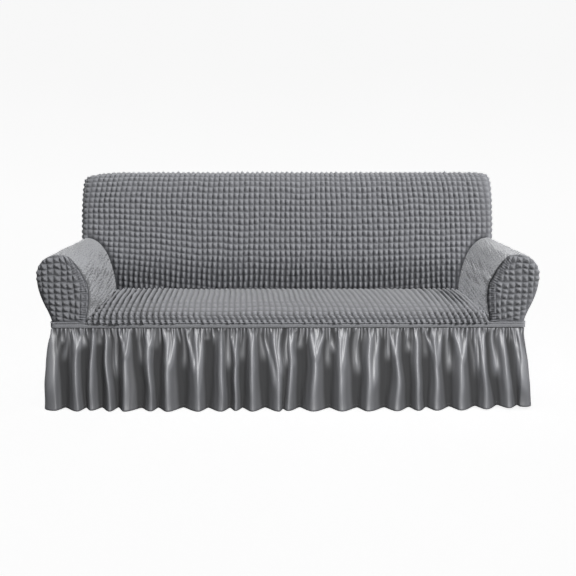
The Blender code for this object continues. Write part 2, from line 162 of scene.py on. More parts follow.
# The rolled arm, outside bottom over the top to inside bottom: distance from the middle and
# height, at the front panel and where the arm meets the back.
ARM_PROFILE = np.array(
    [
        (0.9999, 0.363, 0.9999, 0.363),
        (1.0000, 0.380, 0.9999, 0.380),
        (1.0120, 0.418, 1.0000, 0.418),
        (1.0290, 0.455, 1.0002, 0.455),
        (1.0430, 0.495, 1.0007, 0.495),
        (1.0510, 0.532, 1.0013, 0.532),
        (1.0530, 0.562, 1.0018, 0.562),
        (1.0500, 0.592, 1.0022, 0.590),
        (1.0400, 0.618, 1.0015, 0.612),
        (1.0220, 0.640, 0.9985, 0.630),
        (0.9970, 0.655, 0.9900, 0.643),
        (0.9650, 0.662, 0.9730, 0.648),
        (0.9330, 0.659, 0.9500, 0.643),
        (0.9060, 0.643, 0.9230, 0.628),
        (0.8800, 0.610, 0.8980, 0.602),
        (0.8560, 0.568, 0.8770, 0.567),
        (0.8400, 0.530, 0.8620, 0.527),
        (0.8370, 0.490, 0.8510, 0.485),
        (0.8420, 0.440, 0.8440, 0.440),
        (0.8500, 0.398, 0.8410, 0.405),
        (0.8530, 0.372, 0.8400, 0.376),
    ]
)
ARM_TOP_ROW = 11
ARM_PANEL_SEAM = 0.013
ARM_PANEL_ROLL = 0.030
# Puffs of an arm front: width and height, where they are counted from, and its puckers.
ARM_PUFF = (0.0275, 0.0262)
ARM_PUFFS_FROM = (1.058, 0.366)
ARM_PUCKER = 0.0038
ARM_PUCKER_PITCH = 0.0105
# How far the sleeve's inner edge runs on under the seat, and how far it drops there.
SLEEVE_TUCK = ((0.004, 0.0015), (0.012, 0.0020))
# Parts of the sleeve's relief and painted shade, on the outside of the arm and how much more on
# its inside, where it is pulled hardest: streaks, small creases, depth and reach of the dip at the
# front seam, reach of the painted shade of the crease there, and how much the crinkle's height
# lightens the painted shade of its troughs.
SLEEVE_PULL = (
    (0.25, 0.65),
    (0.30, 0.20),
    (0.005, 0.003),
    (0.006, 0.006),
    (0.006, 0.024),
    (0.40, 0.35),
)
# Height of the sleeve's long soft waves; height and reach of the puckers at its front and back.
SLEEVE_SOFT = 0.0016
SLEEVE_PUCKERS = ((0.0026, 0.035), (0.0018, 0.030))

# The seat from the tape over its front edge to the tuck: depth, height, share of the curl.
SEAT_PROFILE = np.array(
    [
        (0.0000, 0.363, 0.0),
        (0.0000, 0.373, 0.0),
        (0.0015, 0.380, 0.3),
        (0.0070, 0.386, 0.55),
        (0.0190, 0.391, 0.7),
        (0.0420, 0.395, 0.9),
        (0.0850, 0.399, 1.0),
        (0.1500, 0.402, 1.0),
        (0.2500, 0.404, 1.0),
        (0.4000, 0.404, 1.0),
        (0.5200, 0.402, 1.0),
        (0.5850, 0.399, 1.0),
        (0.6080, 0.392, 0.8),
        (0.6165, 0.376, 0.4),
    ]
)
SEAT_CROWN = 0.008
# Towards the arms it curls down: share of the way out, and how far.
SEAT_COLUMNS = np.array([0.0, 0.18, 0.36, 0.54, 0.72, 0.86, 0.94, 0.98, 0.995, 1.0])
SEAT_CURL = np.array([0.0, 0.0, 0.0, 0.0, 0.0, 0.001, 0.003, 0.008, 0.016, 0.026])
SEAT_PUFFS = 68
# Its ridges on the cloth's own map, and the size at which one has its whole height.
RIDGE_WIDE = 0.025
FULL_RIDGE = 0.016
SEAT_CREASE = 0.009
# Over its front edge the ridges are dragged to the right.
SEAT_DRAG = 0.016
SEAT_EDGE = 0.06
# How deep the ridges are, how much painted shade they take and how narrow they are: all over,
# and more at the front edge, at the left arm and at the right arm.
SEAT_ZONES = (
    (0.70, 0.80, 1.00, 0.75),
    (0.35, 0.50, 0.80, 0.50),
    (0.00, 0.30, 0.90, 0.40),
)
# Where these begin, and how far they take to be full: depth behind the front for its edge,
# share of the way out for the arms.
SEAT_EDGE_ZONE = (0.13, 0.10)
SEAT_LEFT_ZONE = (0.45, 0.45)
SEAT_RIGHT_ZONE = (0.62, 0.35)
# Grooves across the seat: length along it from the tape, and how much of a groove is left.
SEAT_ROWS = np.array(
    [
        (0.000, 1.0),
        (0.026, 1.0),
        (0.050, 1.0),
        (0.104, 0.9),
        (0.168, 0.85),
        (0.232, 0.65),
        (0.300, 0.30),
        (0.380, 0.0),
        (0.460, 0.0),
        (0.540, 0.0),
        (0.610, 0.0),
        (0.647, 0.0),
    ]
)
# Towards the back the ridges of the seat drift sideways: place across at the front, drift.
SEAT_DRIFT = np.array(
    [
        (-1.00, 0.0),
        (-0.92, -0.055),
        (-0.50, -0.045),
        (0.00, -0.038),
        (0.25, -0.043),
        (0.60, -0.012),
        (0.80, 0.020),
        (1.00, 0.0),
    ]
)

# Gathered folds of the front skirt, left to right: crest at the band and at the hem, how far it
# stands out at the hem, the valley to its right at the band and at the hem, how far that lies in.
FRONT_FOLDS = np.array(
    [
        (-0.997, -0.999, 0.020, -0.955, -0.955, 0.016),
        (-0.899, -0.894, 0.022, -0.865, -0.865, 0.016),
        (-0.826, -0.839, 0.012, -0.797, -0.797, 0.020),
        (-0.771, -0.758, 0.020, -0.737, -0.729, 0.024),
        (-0.686, -0.694, 0.021, -0.639, -0.626, 0.018),
        (-0.588, -0.584, 0.017, -0.550, -0.558, 0.022),
        (-0.511, -0.511, 0.022, -0.452, -0.448, 0.024),
        (-0.388, -0.380, 0.021, -0.337, -0.341, 0.020),
        (-0.286, -0.286, 0.021, -0.252, -0.252, 0.018),
        (-0.218, -0.226, 0.012, -0.188, -0.197, 0.020),
        (-0.150, -0.150, 0.021, -0.116, -0.099, 0.021),
        (-0.060, -0.039, 0.021, -0.009, -0.022, 0.004),
        (0.020, -0.001, 0.014, 0.059, 0.050, 0.024),
        (0.118, 0.106, 0.022, 0.174, 0.174, 0.018),
        (0.220, 0.225, 0.022, 0.293, 0.293, 0.020),
        (0.344, 0.340, 0.022, 0.416, 0.416, 0.020),
        (0.459, 0.463, 0.021, 0.497, 0.514, 0.020),
        (0.540, 0.552, 0.020, 0.578, 0.591, 0.018),
        (0.620, 0.633, 0.020, 0.667, 0.689, 0.022),
        (0.718, 0.740, 0.022, 0.765, 0.803, 0.018),
        (0.812, 0.842, 0.020, 0.854, 0.893, 0.020),
        (0.897, 0.944, 0.018, 0.931, 0.978, 0.006),
        (0.976, 0.997, 0.022, 1.024, 1.024, 0.012),
    ]
)
# Gathers that run into those folds: place at the band, place and height of the foot, strength.
FRONT_GATHERS = np.array(
    [
        (-0.962, -1.000, 0.065, 0.4),
        (-0.930, -0.950, 0.190, 0.6),
        (-0.911, -0.899, 0.230, 0.8),
        (-0.877, -0.890, 0.240, 0.8),
        (-0.822, -0.835, 0.110, 0.7),
        (-0.716, -0.690, 0.205, 1.0),
        (-0.672, -0.686, 0.205, 1.0),
        (-0.596, -0.592, 0.175, 0.8),
        (-0.571, -0.584, 0.250, 0.7),
        (-0.524, -0.516, 0.165, 0.9),
        (-0.480, -0.503, 0.150, 0.9),
        (-0.430, -0.397, 0.140, 1.0),
        (-0.360, -0.380, 0.045, 0.8),
        (-0.243, -0.218, 0.165, 0.9),
        (-0.163, -0.150, 0.130, 0.8),
        (-0.102, -0.060, 0.065, 0.8),
        (-0.035, -0.035, 0.110, 0.7),
        (0.004, 0.020, 0.165, 0.8),
        (0.093, 0.114, 0.195, 1.0),
        (0.148, 0.118, 0.195, 1.0),
        (0.169, 0.191, 0.225, 0.6),
        (0.212, 0.220, 0.110, 0.8),
        (0.246, 0.229, 0.150, 0.8),
        (0.284, 0.284, 0.130, 0.5),
        (0.382, 0.365, 0.065, 0.8),
        (0.429, 0.454, 0.205, 0.9),
        (0.578, 0.625, 0.195, 0.8),
        (0.612, 0.629, 0.165, 0.9),
        (0.650, 0.633, 0.165, 0.8),
        (0.701, 0.723, 0.205, 0.9),
        (0.756, 0.731, 0.180, 0.9),
        (0.786, 0.803, 0.130, 0.8),
        (0.829, 0.837, 0.065, 0.8),
        (0.863, 0.893, 0.110, 0.9),
        (0.910, 0.931, 0.045, 0.8),
        (0.952, 0.990, 0.045, 0.8),
    ]
)
# Down the skirt: height, share of the full fold, swing outwards, share of the way that the
# folds have moved to their places at the hem.
SKIRT_ROWS = np.array(
    [
        (0.0010, 1.00, 0.0270, 1.0),
        (0.1200, 0.90, 0.0200, 0.7),
        (0.2200, 0.70, 0.0125, 0.4),
        (0.2850, 0.48, 0.0065, 0.2),
        (0.3508, 0.07, -0.0030, 0.0),
        (0.3610, 0.05, -0.0025, 0.0),
    ]
)
# Along the front: how far the belly of the skirt stands out past that, and how far its hem
# is drawn up.
FRONT_BELLY = np.array(
    [
        (-1.06, 0.000, 0.000),
        (-0.90, 0.004, 0.000),
        (-0.60, 0.011, 0.000),
        (0.30, 0.012, 0.000),
        (0.70, 0.006, 0.001),
        (0.90, 0.000, 0.006),
        (1.05, 0.000, 0.014),
    ]
)
HEM_RISE = 0.004
FRONT_START = -1.048
# The rear length wraps this far round its corners. Where two lengths join, the skirt lies in
# this far, flat over a short length and plain over a longer one.
REAR_WRAP = 0.012
JOIN_FALL = 0.012
JOIN_FLAT = 0.004
JOIN_PLAIN = 0.012
SIDE_FOLD_PITCH = 0.078
REAR_FOLD_PITCH = 0.085
FOLD_LEAN = 0.010
FOLD_DEPTH = 0.020
# Mesh lines of the skirt, by how far they lie below its top: close together at the tape, then
# evenly over the fine gathers (first, last, how many), and so many more down to the hem.
TAPE_LINES = (0.0, 0.0060, 0.0095, 0.0102, 0.0110, 0.0120, 0.0135, 0.0155, 0.0180)
GATHER_LINES = (0.021, 0.070, 14)
HEM_LINES = 38
SKIRT_SEED = 11
SEAM_ALLOWANCE = 0.007
# The turned hem: its depth, how much thicker it is, and how it rolls in at its edge, from the
# inside out: inwards and up.
HEM_DEPTH = 0.014
HEM_THICKER = 0.0007
HEM_ROLL = ((0.0016, 0.0040), (0.0016, 0.0004), (0.0009, -0.0003))
# How far its folds wander sideways on their way down, and how far it ripples in and out.
SKIRT_SWAY = 0.0042
SKIRT_RIPPLE = 0.0011
# How much painted highlight a crest takes over the painted shade of the valleys: its broad back,
# its narrow top and the gathers on it.
CREST_BROAD = 0.42
CREST_NARROW = 0.38
CREST_GATHER = 0.85
# A gather at the band: half its width, and how far it stands out.
GATHER_WIDTH = 0.0064
GATHER_RISE = 0.0090
# The gather that starts a fold: height of its foot and strength. The faint one in a valley:
# least and most of its shift sideways, height of its foot and strength.
FOLD_GATHER = (0.03, 0.5)
VALLEY_GATHERS = ((-0.008, 0.06, 0.3), (0.006, 0.29, 0.65))
# Crests are narrow under the tape and broad at the hem: powers of their share of a fold.
CREST_POWERS = (2.0, 0.75)

# Where the mesh lines of a puff lie: close together beside its grooves.
LINES_ACROSS = (0.0, 0.12, 0.34, 0.5, 0.66, 0.88)
LINES_UP = (0.0, 0.13, 0.38, 0.62, 0.87)
PANEL = "Sofa cover"

# The lights: name, place, what it looks at, size, whose power it has and how much of it.
LIGHTS = (
    ("key_light", (8.4, -5.0, 7.4), (0.0, 0.0, 0.5), 2.4, "key", 1.0),
    ("skirt_light", (1.6, -4.2, 2.2), (0.0, -0.4, 0.2), 1.0, "skirt", 1.0),
    ("gloss_light", (0.5, -4.4, 0.8), (0.0, -0.4, 0.2), 1.0, "gloss", 1.0),
    ("sleeve_light", (-2.0, -1.8, 1.7), (0.87, -0.1, 0.52), 0.8, "sleeve", 1.0),
    ("top_light", (-2.4, 0.3, 4.2), (-0.2, 0.0, 0.5), 1.6, "top", 1.0),
    ("fill_light", (-2.4, -4.0, 2.1), (0.0, -0.2, 0.5), 2.2, "fill", 1.0),
    ("rear_light_left", (-5.5, 4.0, 2.0), (0.0, 0.4, 0.5), 2.4, "rear", 1.0),
    ("rear_light_right", (5.5, 4.0, 2.0), (0.0, 0.4, 0.5), 2.4, "rear", 0.8),
)
# The sweep all round the cover: how far its floor is flat, radius of its bend, height of its wall.
SWEEP_FLAT = 8.0
SWEEP_BEND = 2.0
SWEEP_TOP = 9.0
CAMERA_PLACE = (-0.0245, -3.999, 1.222)
CAMERA_SENSOR = 36.0

# How a puff leans, a little to its left and up: name, lowest and highest power, own seed.
PUFF_LEANS = (("lean across", 0.62, 0.92, 11), ("lean up", 0.85, 1.25, 23))
# How full a round puff is, and how soft the edges of a pointed one are.
PILLOW_POWER = 0.85
POINT_SOFTNESS = 0.08
# Puffs are numbered along their row, and the next row starts this much higher.
CELLS_A_ROW = 613.0
# A fine gather: power of its arc, how much painted highlight it takes, and how far down it
# takes to start.
GATHER_POWER = 4.0
GATHER_PAINTED_HIGHLIGHT = 1.5
GATHER_START = 0.0025

# Kinds of nodes and their settings that come up often.
MATH = "ShaderNodeMath"
RANDOM = "FunctionNodeRandomValue"
PLUS = {"operation": "ADD"}
LESS = {"operation": "SUBTRACT"}
TIMES = {"operation": "MULTIPLY"}
POWER = {"operation": "POWER"}
FLOOR = {"operation": "FLOOR"}
FRACTION = {"operation": "FRACT"}
SINE = {"operation": "SINE"}
PLAIN = {"data_type": "FLOAT"}
COLOURS = {"data_type": "RGBA"}
SMOOTH = {"interpolation_type": "SMOOTHSTEP", "clamp": True}


# ---------------------------------------------------------------- sizes and colours


def linear(code):
    """Linear red, green and blue of an sRGB hex colour."""
    parts = [int(code[k : k + 2], 16) / 255 for k in (1, 3, 5)]
    return [c / 12.92 if c <= 0.04045 else ((c + 0.055) / 1.055) ** 2.4 for c in parts]


def length_of(name, text, default, low, high):
    """A length that a user may change."""
    return FloatProperty(
        name=name, description=text, default=default, min=low, max=high, unit="LENGTH"
    )


def share_of(name, text, default):
    """A share between none and all that a user may change."""
    return FloatProperty(
        name=name, description=text, default=default, min=0.0, max=1.0, subtype="FACTOR"
    )


def colour_of(name, text, code):
    """A colour that a user may change."""
    return FloatVectorProperty(
        name=name,
        description=text,
        default=linear(code),
        min=0.0,
        max=1.0,
        size=3,
        subtype="COLOR",
    )


def angle_of(name, text, degrees):
    """An angle that a user may change, given in degrees."""
    return FloatProperty(
        name=name, description=text, default=math.radians(degrees), unit="ROTATION"
    )


def power_of(name, text, default):
    """The power of a light, which a user may change."""
    return FloatProperty(name=name, description=text, default=default, min=0.0, unit="POWER")


class CoverKnit(bpy.types.PropertyGroup):
    """Sizes of the puffed knit and the crinkled sleeves."""

    puff_height: length_of("Puff height", "How far a puff of the back stands up", 0.0145, 0, 0.02)
    seat_height: length_of("Seat puffs", "How far a ridge of the seat stands up", 0.0095, 0, 0.02)
    arm_height: length_of("Arm puffs", "How far a puff of an arm front stands up", 0.0095, 0, 0.02)
    crinkle: length_of("Crinkle", "How deep the crinkle of a sleeve is", 0.0034, 0, 0.005)
    pointed: share_of("Pointed", "From round pillows to pointed puffs", 0.95)
    uneven: share_of("Uneven", "How much the puffs differ from each other", 0.35)
    seed: IntProperty(name="Seed", description="Picks one lot of uneven puffs", default=4, min=0)


class CoverSkirt(bpy.types.PropertyGroup):
    """Sizes of the gathered skirt and its tape."""

    gather_pitch: length_of("Gather pitch", "Width of a gather at the tape", 0.0165, 0.005, 0.05)
    gather_depth: length_of("Gather depth", "How far a fine gather stands out", 0.0068, 0, 0.02)
    gather_reach: length_of("Gather reach", "How far down a fine gather runs", 0.045, 0.01, 0.3)
    rib_pitch: length_of("Rib pitch", "Distance between the ribs of the tape", 0.0050, 0.002, 0.02)
    stitch_pitch: length_of("Stitch pitch", "Distance between two stitches", 0.0075, 0.003, 0.02)
    seed: IntProperty(name="Seed", description="Picks one lot of uneven gathers", default=7, min=0)


class CoverColours(bpy.types.PropertyGroup):
    """Colours of the cloths."""

    knit: colour_of("Knit", "Puffed knit on top of a puff", "#8B8C90")
    # The groove and tuck colours are painted shade: the knit turns to them in the grooves between
    # puffs, in tucks and in creases.
    knit_groove_shade: colour_of("Knit groove", "Puffed knit where its threads pull it in", "#77787C")
    knit_tuck_shade: colour_of("Knit tuck", "Puffed knit deep in a tuck", "#3C3D40")
    sleeve: colour_of("Sleeve", "Crinkled knit of the arm sleeves", "#949598")
    tape: colour_of("Tape", "Elastic tape at the waist", "#A0A1A5")
    satin: colour_of("Satin", "Skirt cloth", "#8E8F93")
    thread: colour_of("Thread", "Sewing thread", "#7A7C80")


# ---------------------------------------------------------------- tables and surfaces


def smooth_rows(at, keys, rows):
    """Rows of a table between its keys, on a smooth curve that never overshoots them."""
    keys, rows, at = np.asarray(keys, float), np.asarray(rows, float), np.asarray(at, float)
    slope = np.diff(rows, axis=0) / np.diff(keys).reshape(-1, *[1] * (rows.ndim - 1))
    same = slope[1:] * slope[:-1] > 0
    total = np.where(same, slope[1:] + slope[:-1], 1.0)
    tangent = np.zeros_like(rows)
    tangent[1:-1] = np.where(same, 2 * slope[1:] * slope[:-1] / total, 0.0)
    tangent[0], tangent[-1] = slope[0], slope[-1]
    k = np.clip(np.searchsorted(keys, at, side="right") - 1, 0, len(keys) - 2)
    width = keys[k + 1] - keys[k]
    t = np.clip((at - keys[k]) / width, 0.0, 1.0)
    if rows.ndim > 1:
        width, t = width[..., None], t[..., None]
    start = rows[k] * (1 + 2 * t) * (1 - t) ** 2 + tangent[k] * width * t * (1 - t) ** 2
    return start + rows[k + 1] * t**2 * (3 - 2 * t) - tangent[k + 1] * width * t**2 * (1 - t)


def table_rows(table, at):
    """Rows of a table at places counted in its rows, on a smooth curve."""
    return smooth_rows(at, np.arange(len(table)), table)


def resampled(points, shares):
    """Points of a line at shares of the way from its first to its last."""
    places = np.linspace(0, 1, len(points))
    return np.column_stack([np.interp(shares, places, points[:, k]) for k in range(points.shape[1])])


def eased(value):
    """Goes smoothly from 0 to 1 as the value does."""
    t = np.clip(value, 0.0, 1.0)
    return t * t * (3 - 2 * t)


def waves(x, y, size, seed, count=14):
    """Smooth uneven values, mostly within 1 of 0, that change over about this size."""
    generator = np.random.default_rng(seed)
    total = 0.0
    for _ in range(count):
        angle, phase = generator.uniform(0.0, 2 * math.pi, 2)
        turn = 2 * math.pi / (size * generator.uniform(0.7, 1.7))
        total = total + np.cos((x * math.cos(angle) + y * math.sin(angle)) * turn + phase)
    return total / math.sqrt(2 * count)


def uneven(x, y, scales):
    """Sum of waves; each scale gives how much, over what size and its seed."""
    return sum(share * waves(x, y, size, seed) for share, size, seed in scales)


def placed(x, depth, z):
    """Points from distances across, depths behind the arm fronts and heights."""
    return np.stack(np.broadcast_arrays(x, np.asarray(depth) - WAIST_HALF_DEPTH, z), axis=-1)


def puff_lines(count, lines):
    """Where the mesh lines lie over so many puffs, given those of one puff."""
    return np.append((np.arange(count)[:, None] + np.array(lines)).ravel(), float(count))


def cell_size(points, across, up):
    """The smaller side of the puff at each point, in metres."""
    along_up = np.linalg.norm(np.gradient(points, axis=0), axis=-1)
    along_across = np.linalg.norm(np.gradient(points, axis=1), axis=-1)
    tall = along_up / np.maximum(np.gradient(up, axis=0), 1e-6)
    wide = along_across / np.maximum(np.gradient(across, axis=1), 1e-6)
    return np.minimum(tall, wide)


def pushed(points, amount):
    """Points of a grid moved outwards, along the normals of its surface."""
    return points + outwards(points) * amount[..., None]


def outwards(points):
    """Directions out of the surface of a grid of points."""
    down, right = np.gradient(points, axis=0), np.gradient(points, axis=1)
    normal = np.cross(right, down)
    return normal / np.maximum(np.linalg.norm(normal, axis=-1, keepdims=True), 1e-12)


def arm_turn(station):
    """How far the arm has drawn in to its width at the back."""
    return station**3 * (4.0 - 3.0 * station)


def arm_inner(z):
    """Distance of the inside of the arm from the middle, where it meets the back."""
    rows = ARM_PROFILE[ARM_TOP_ROW:]
    return np.interp(z, rows[::-1, 3], rows[::-1, 2])


def back_front_depth(x, z):
    """Depth of the face of the back at a height, round its corners too."""
    front, half, radius = (np.interp(z, BACK_SECTIONS[:, 0], BACK_SECTIONS[:, k]) for k in (1, 3, 4))
    past = np.clip(np.abs(x) - (half - radius), 0.0, radius)
    return front + radius - np.sqrt(radius**2 - past**2)


def shoulder(x, share):
    """How far the top of the back sags at its left end."""
    along = np.clip((-x - (WAIST_HALF_WIDTH - SHOULDER_LENGTH)) / SHOULDER_LENGTH, 0.0, 1.0)
    return SHOULDER_DROP * share * along**2


# ---------------------------------------------------------------- meshes


def add_cloth(name, points, cloth_map, attributes=None, keep=None, weld=False):
    """A sheet of cloth over a grid of points, with its own map in metres.

    Rows run left to right as seen from outside and climb, so that the faces point outwards.
    """
    rows, columns = points.shape[:2]
    index = np.arange(rows * columns).reshape(rows, columns)
    quads = np.stack([index[:-1, :-1], index[:-1, 1:], index[1:, 1:], index[1:, :-1]], -1)
    quads = quads[keep] if keep is not None else quads.reshape(-1, 4)
    used, quads = np.unique(quads, return_inverse=True)
    quads = quads.reshape(-1, 4)
    mesh = bpy.data.meshes.new(name)
    mesh.from_pydata(points.reshape(-1, 3)[used].tolist(), [], quads.tolist())
    for key, values in (attributes or {}).items():
        layer = mesh.attributes.new(key, "FLOAT", "POINT")
        flat = np.broadcast_to(values, (rows, columns)).reshape(-1)[used]
        layer.data.foreach_set("value", flat.astype(np.float32))
    uv = mesh.uv_layers.new(name="cloth")
    flat = np.stack(np.broadcast_arrays(*cloth_map), -1).reshape(-1, 2)[used]
    uv.data.foreach_set("uv", flat[quads.ravel()].astype(np.float32).ravel())
    mesh.polygons.foreach_set("use_smooth", np.ones(len(quads), bool))
    mesh.update()
    if weld:
        work = bmesh.new()
        work.from_mesh(mesh)
        bmesh.ops.remove_doubles(work, verts=work.verts, dist=0.00001)
        bmesh.ops.dissolve_degenerate(work, edges=work.edges, dist=0.00001)
        work.to_mesh(mesh)
        work.free()
    return linked(name, mesh)


def linked(name, data):
    """An object of these data at the origin, in the scene."""
    obj = bpy.data.objects.new(name, data)
    bpy.context.scene.collection.objects.link(obj)
    return obj


def add_line(name, points, closed=False):
    """A poly curve through points, to sew or rib along."""
    curve = bpy.data.curves.new(name, "CURVE")
    curve.dimensions = "3D"
    spline = curve.splines.new("POLY")
    spline.points.add(len(points) - 1)
    spline.points.foreach_set("co", np.column_stack([points, np.ones(len(points))]).ravel())
    spline.use_cyclic_u = closed
    return linked(name, curve)


def grown(obj, tree, settings):
    """Run a tree over an object with these inputs and keep the plain mesh that it gives."""
    modifier = obj.modifiers.new(tree.name, "NODES")
    modifier.node_group = tree
    for item in tree.interface.items_tree:
        if item.item_type == "SOCKET" and item.in_out == "INPUT" and item.name in settings:
            modifier[item.identifier] = settings[item.name]
    depsgraph = bpy.context.evaluated_depsgraph_get()
    mesh = bpy.data.meshes.new_from_object(
        obj.evaluated_get(depsgraph), preserve_all_data_layers=True, depsgraph=depsgraph
    )
    name, old = obj.name, obj.data
    if obj.type == "MESH":
        obj.modifiers.remove(modifier)
        obj.data = mesh
        bpy.data.meshes.remove(old)
        return obj
    bpy.data.objects.remove(obj)
    bpy.data.curves.remove(old)
    return linked(name, mesh)


def finished(obj, nodes=()):
    """Make a finished piece ride on the root, and hide the solids of the model that it stands for."""
    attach(obj, "root")
    if nodes:
        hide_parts(*nodes)
    return obj


# ---------------------------------------------------------------- node trees


def add_node(tree, kind, settings=None, inputs=None):
    """Add a node with its settings; inputs are values, colours or the sockets that feed them."""
    node = tree.nodes.new(kind)
    for key, value in (settings or {}).items():
        setattr(node, key, value)
    for key, value in (inputs or {}).items():
        socket = node.inputs[key]
        if isinstance(value, bpy.types.NodeSocket):
            tree.links.new(value, socket)
        elif socket.type == "RGBA":
            socket.default_value = (*value, 1.0)
        else:
            socket.default_value = value
    return node


def add_steps(tree, known, steps):
    """Add nodes in order: the name of its result, its kind, its settings and its inputs.

    An input is a value or the name of something known; results are known from then on.
    """
    for name, kind, settings, inputs in steps:
        fed = {key: known[v] if isinstance(v, str) else v for key, v in inputs.items()}
        node = add_node(tree, kind, settings, fed)
        known[name] = next(socket for socket in node.outputs if socket.enabled)


def new_tree(name, sockets, attributes=()):
    """A geometry tree with these named inputs: name, socket type, default.

    Gives the tree and, by name, the sockets of its inputs and of the cloth's attributes.
    """
    tree = bpy.data.node_groups.new(name, "GeometryNodeTree")
    tree.interface.new_socket("Geometry", in_out="INPUT", socket_type="NodeSocketGeometry")
    for label, kind, default in sockets:
        socket = tree.interface.new_socket(label, in_out="INPUT", socket_type=kind)
        if default is not None:
            socket.default_value = default
    tree.interface.new_socket("Geometry", in_out="OUTPUT", socket_type="NodeSocketGeometry")
    known = {socket.name: socket for socket in tree.nodes.new("NodeGroupInput").outputs}
    for key in attributes:
        node = add_node(tree, "GeometryNodeInputNamedAttribute", PLAIN, {"Name": key})
        known[key] = node.outputs[0]
    return tree, known


def close_tree(tree, geometry, material):
    """Make the result of a tree real and give it its material."""
    real = add_node(tree, "GeometryNodeRealizeInstances", inputs={0: geometry})
    dressed = add_node(
        tree, "GeometryNodeSetMaterial", inputs={"Geometry": real.outputs[0], "Material": material}
    )
    tree.links.new(dressed.outputs[0], tree.nodes.new("NodeGroupOutput").inputs[0])
    return tree


def raise_cloth(tree, known, height, kept):
    """Move the cloth outwards by a height, keep one value on it and close the tree."""
    normal = add_node(tree, "GeometryNodeInputNormal").outputs[0]
    offset = add_node(
        tree, "ShaderNodeVectorMath", {"operation": "SCALE"}, {0: normal, "Scale": known[height]}
    )
    moved = add_node(
        tree,
        "GeometryNodeSetPosition",
        inputs={"Geometry": known["Geometry"], "Offset": offset.outputs[0]},
    )
    stored = add_node(
        tree,
        "GeometryNodeStoreNamedAttribute",
        {"data_type": "FLOAT", "domain": "POINT"},
        {"Geometry": moved.outputs[0], "Name": kept, "Value": known[kept]},
    )
    return close_tree(tree, stored.outputs[0], known["Cloth"])


def puff_tree():
    """Raises one puff in each cell of a cloth, from the cell numbers that the cloth carries."""
    tree, known = new_tree(
        "Puffed knit",
        (
            ("Height", "NodeSocketFloat", 0.007),
            ("Pointed", "NodeSocketFloat", 0.5),
            ("Uneven", "NodeSocketFloat", 0.3),
            ("Seed", "NodeSocketInt", 4),
            ("Cloth", "NodeSocketMaterial", None),
        ),
        ("across", "up", "narrow", "row_share", "relief"),
    )
    steps = [
        ("row", MATH, FLOOR, {0: "up"}),
        ("row", MATH, TIMES, {0: "row", 1: CELLS_A_ROW}),
        ("cell", MATH, FLOOR, {0: "across"}),
        ("cell", MATH, PLUS, {0: "cell", 1: "row"}),
        ("lowest", MATH, LESS, {0: 1.0, 1: "Uneven"}),
    ]
    for name, low, high, shift in (*PUFF_LEANS, ("own", "lowest", 1.0, 37)):
        steps += [
            ("seed", MATH, PLUS, {0: "Seed", 1: shift}),
            (name, RANDOM, PLAIN, {2: low, 3: high, "ID": "cell", 8: "seed"}),
        ]
    for way in ("across", "up"):
        steps += [
            ("share", MATH, FRACTION, {0: way}),
            ("share", MATH, POWER, {0: "share", 1: "lean " + way}),
            ("arc", MATH, TIMES, {0: "share", 1: math.pi}),
            ("arc", MATH, SINE, {0: "arc"}),
            ("arc " + way, MATH, POWER, {0: "arc", 1: PILLOW_POWER}),
            ("fold", MATH, {"operation": "MULTIPLY_ADD"}, {0: "share", 1: 2.0, 2: -1.0}),
            ("fold", MATH, {"operation": "ABSOLUTE"}, {0: "fold"}),
            ("ramp " + way, MATH, LESS, {0: 1.0, 1: "fold"}),
        ]
    # Narrow puffs stand apart sideways, and where row_share is low they run together upwards.
    steps += [("power", MATH, PLUS, {0: 1.0, 1: "narrow"})]
    for shape in ("arc", "ramp"):
        steps += [
            (shape + " across", MATH, POWER, {0: shape + " across", 1: "power"}),
            ("lost", MATH, LESS, {0: 1.0, 1: shape + " up"}),
            ("lost", MATH, TIMES, {0: "lost", 1: "row_share"}),
            (shape + " up", MATH, LESS, {0: 1.0, 1: "lost"}),
        ]
    nearer = {0: "ramp across", 1: "ramp up", 2: POINT_SOFTNESS}
    steps += [
        ("pillow", MATH, TIMES, {0: "arc across", 1: "arc up"}),
        ("point", MATH, {"operation": "SMOOTH_MIN"}, nearer),
        ("shape", "ShaderNodeMix", PLAIN, {0: "Pointed", 2: "pillow", 3: "point"}),
        ("risen", MATH, TIMES, {0: "shape", 1: "own"}),
        ("lift", MATH, {"operation": "MINIMUM"}, {0: "relief", 1: 1.0}),
        ("lift", MATH, TIMES, {0: "risen", 1: "lift"}),
        ("rise", MATH, TIMES, {0: "risen", 1: "relief"}),
        ("rise", MATH, TIMES, {0: "rise", 1: "Height"}),
    ]
    add_steps(tree, known, steps)
    return raise_cloth(tree, known, "rise", "lift")


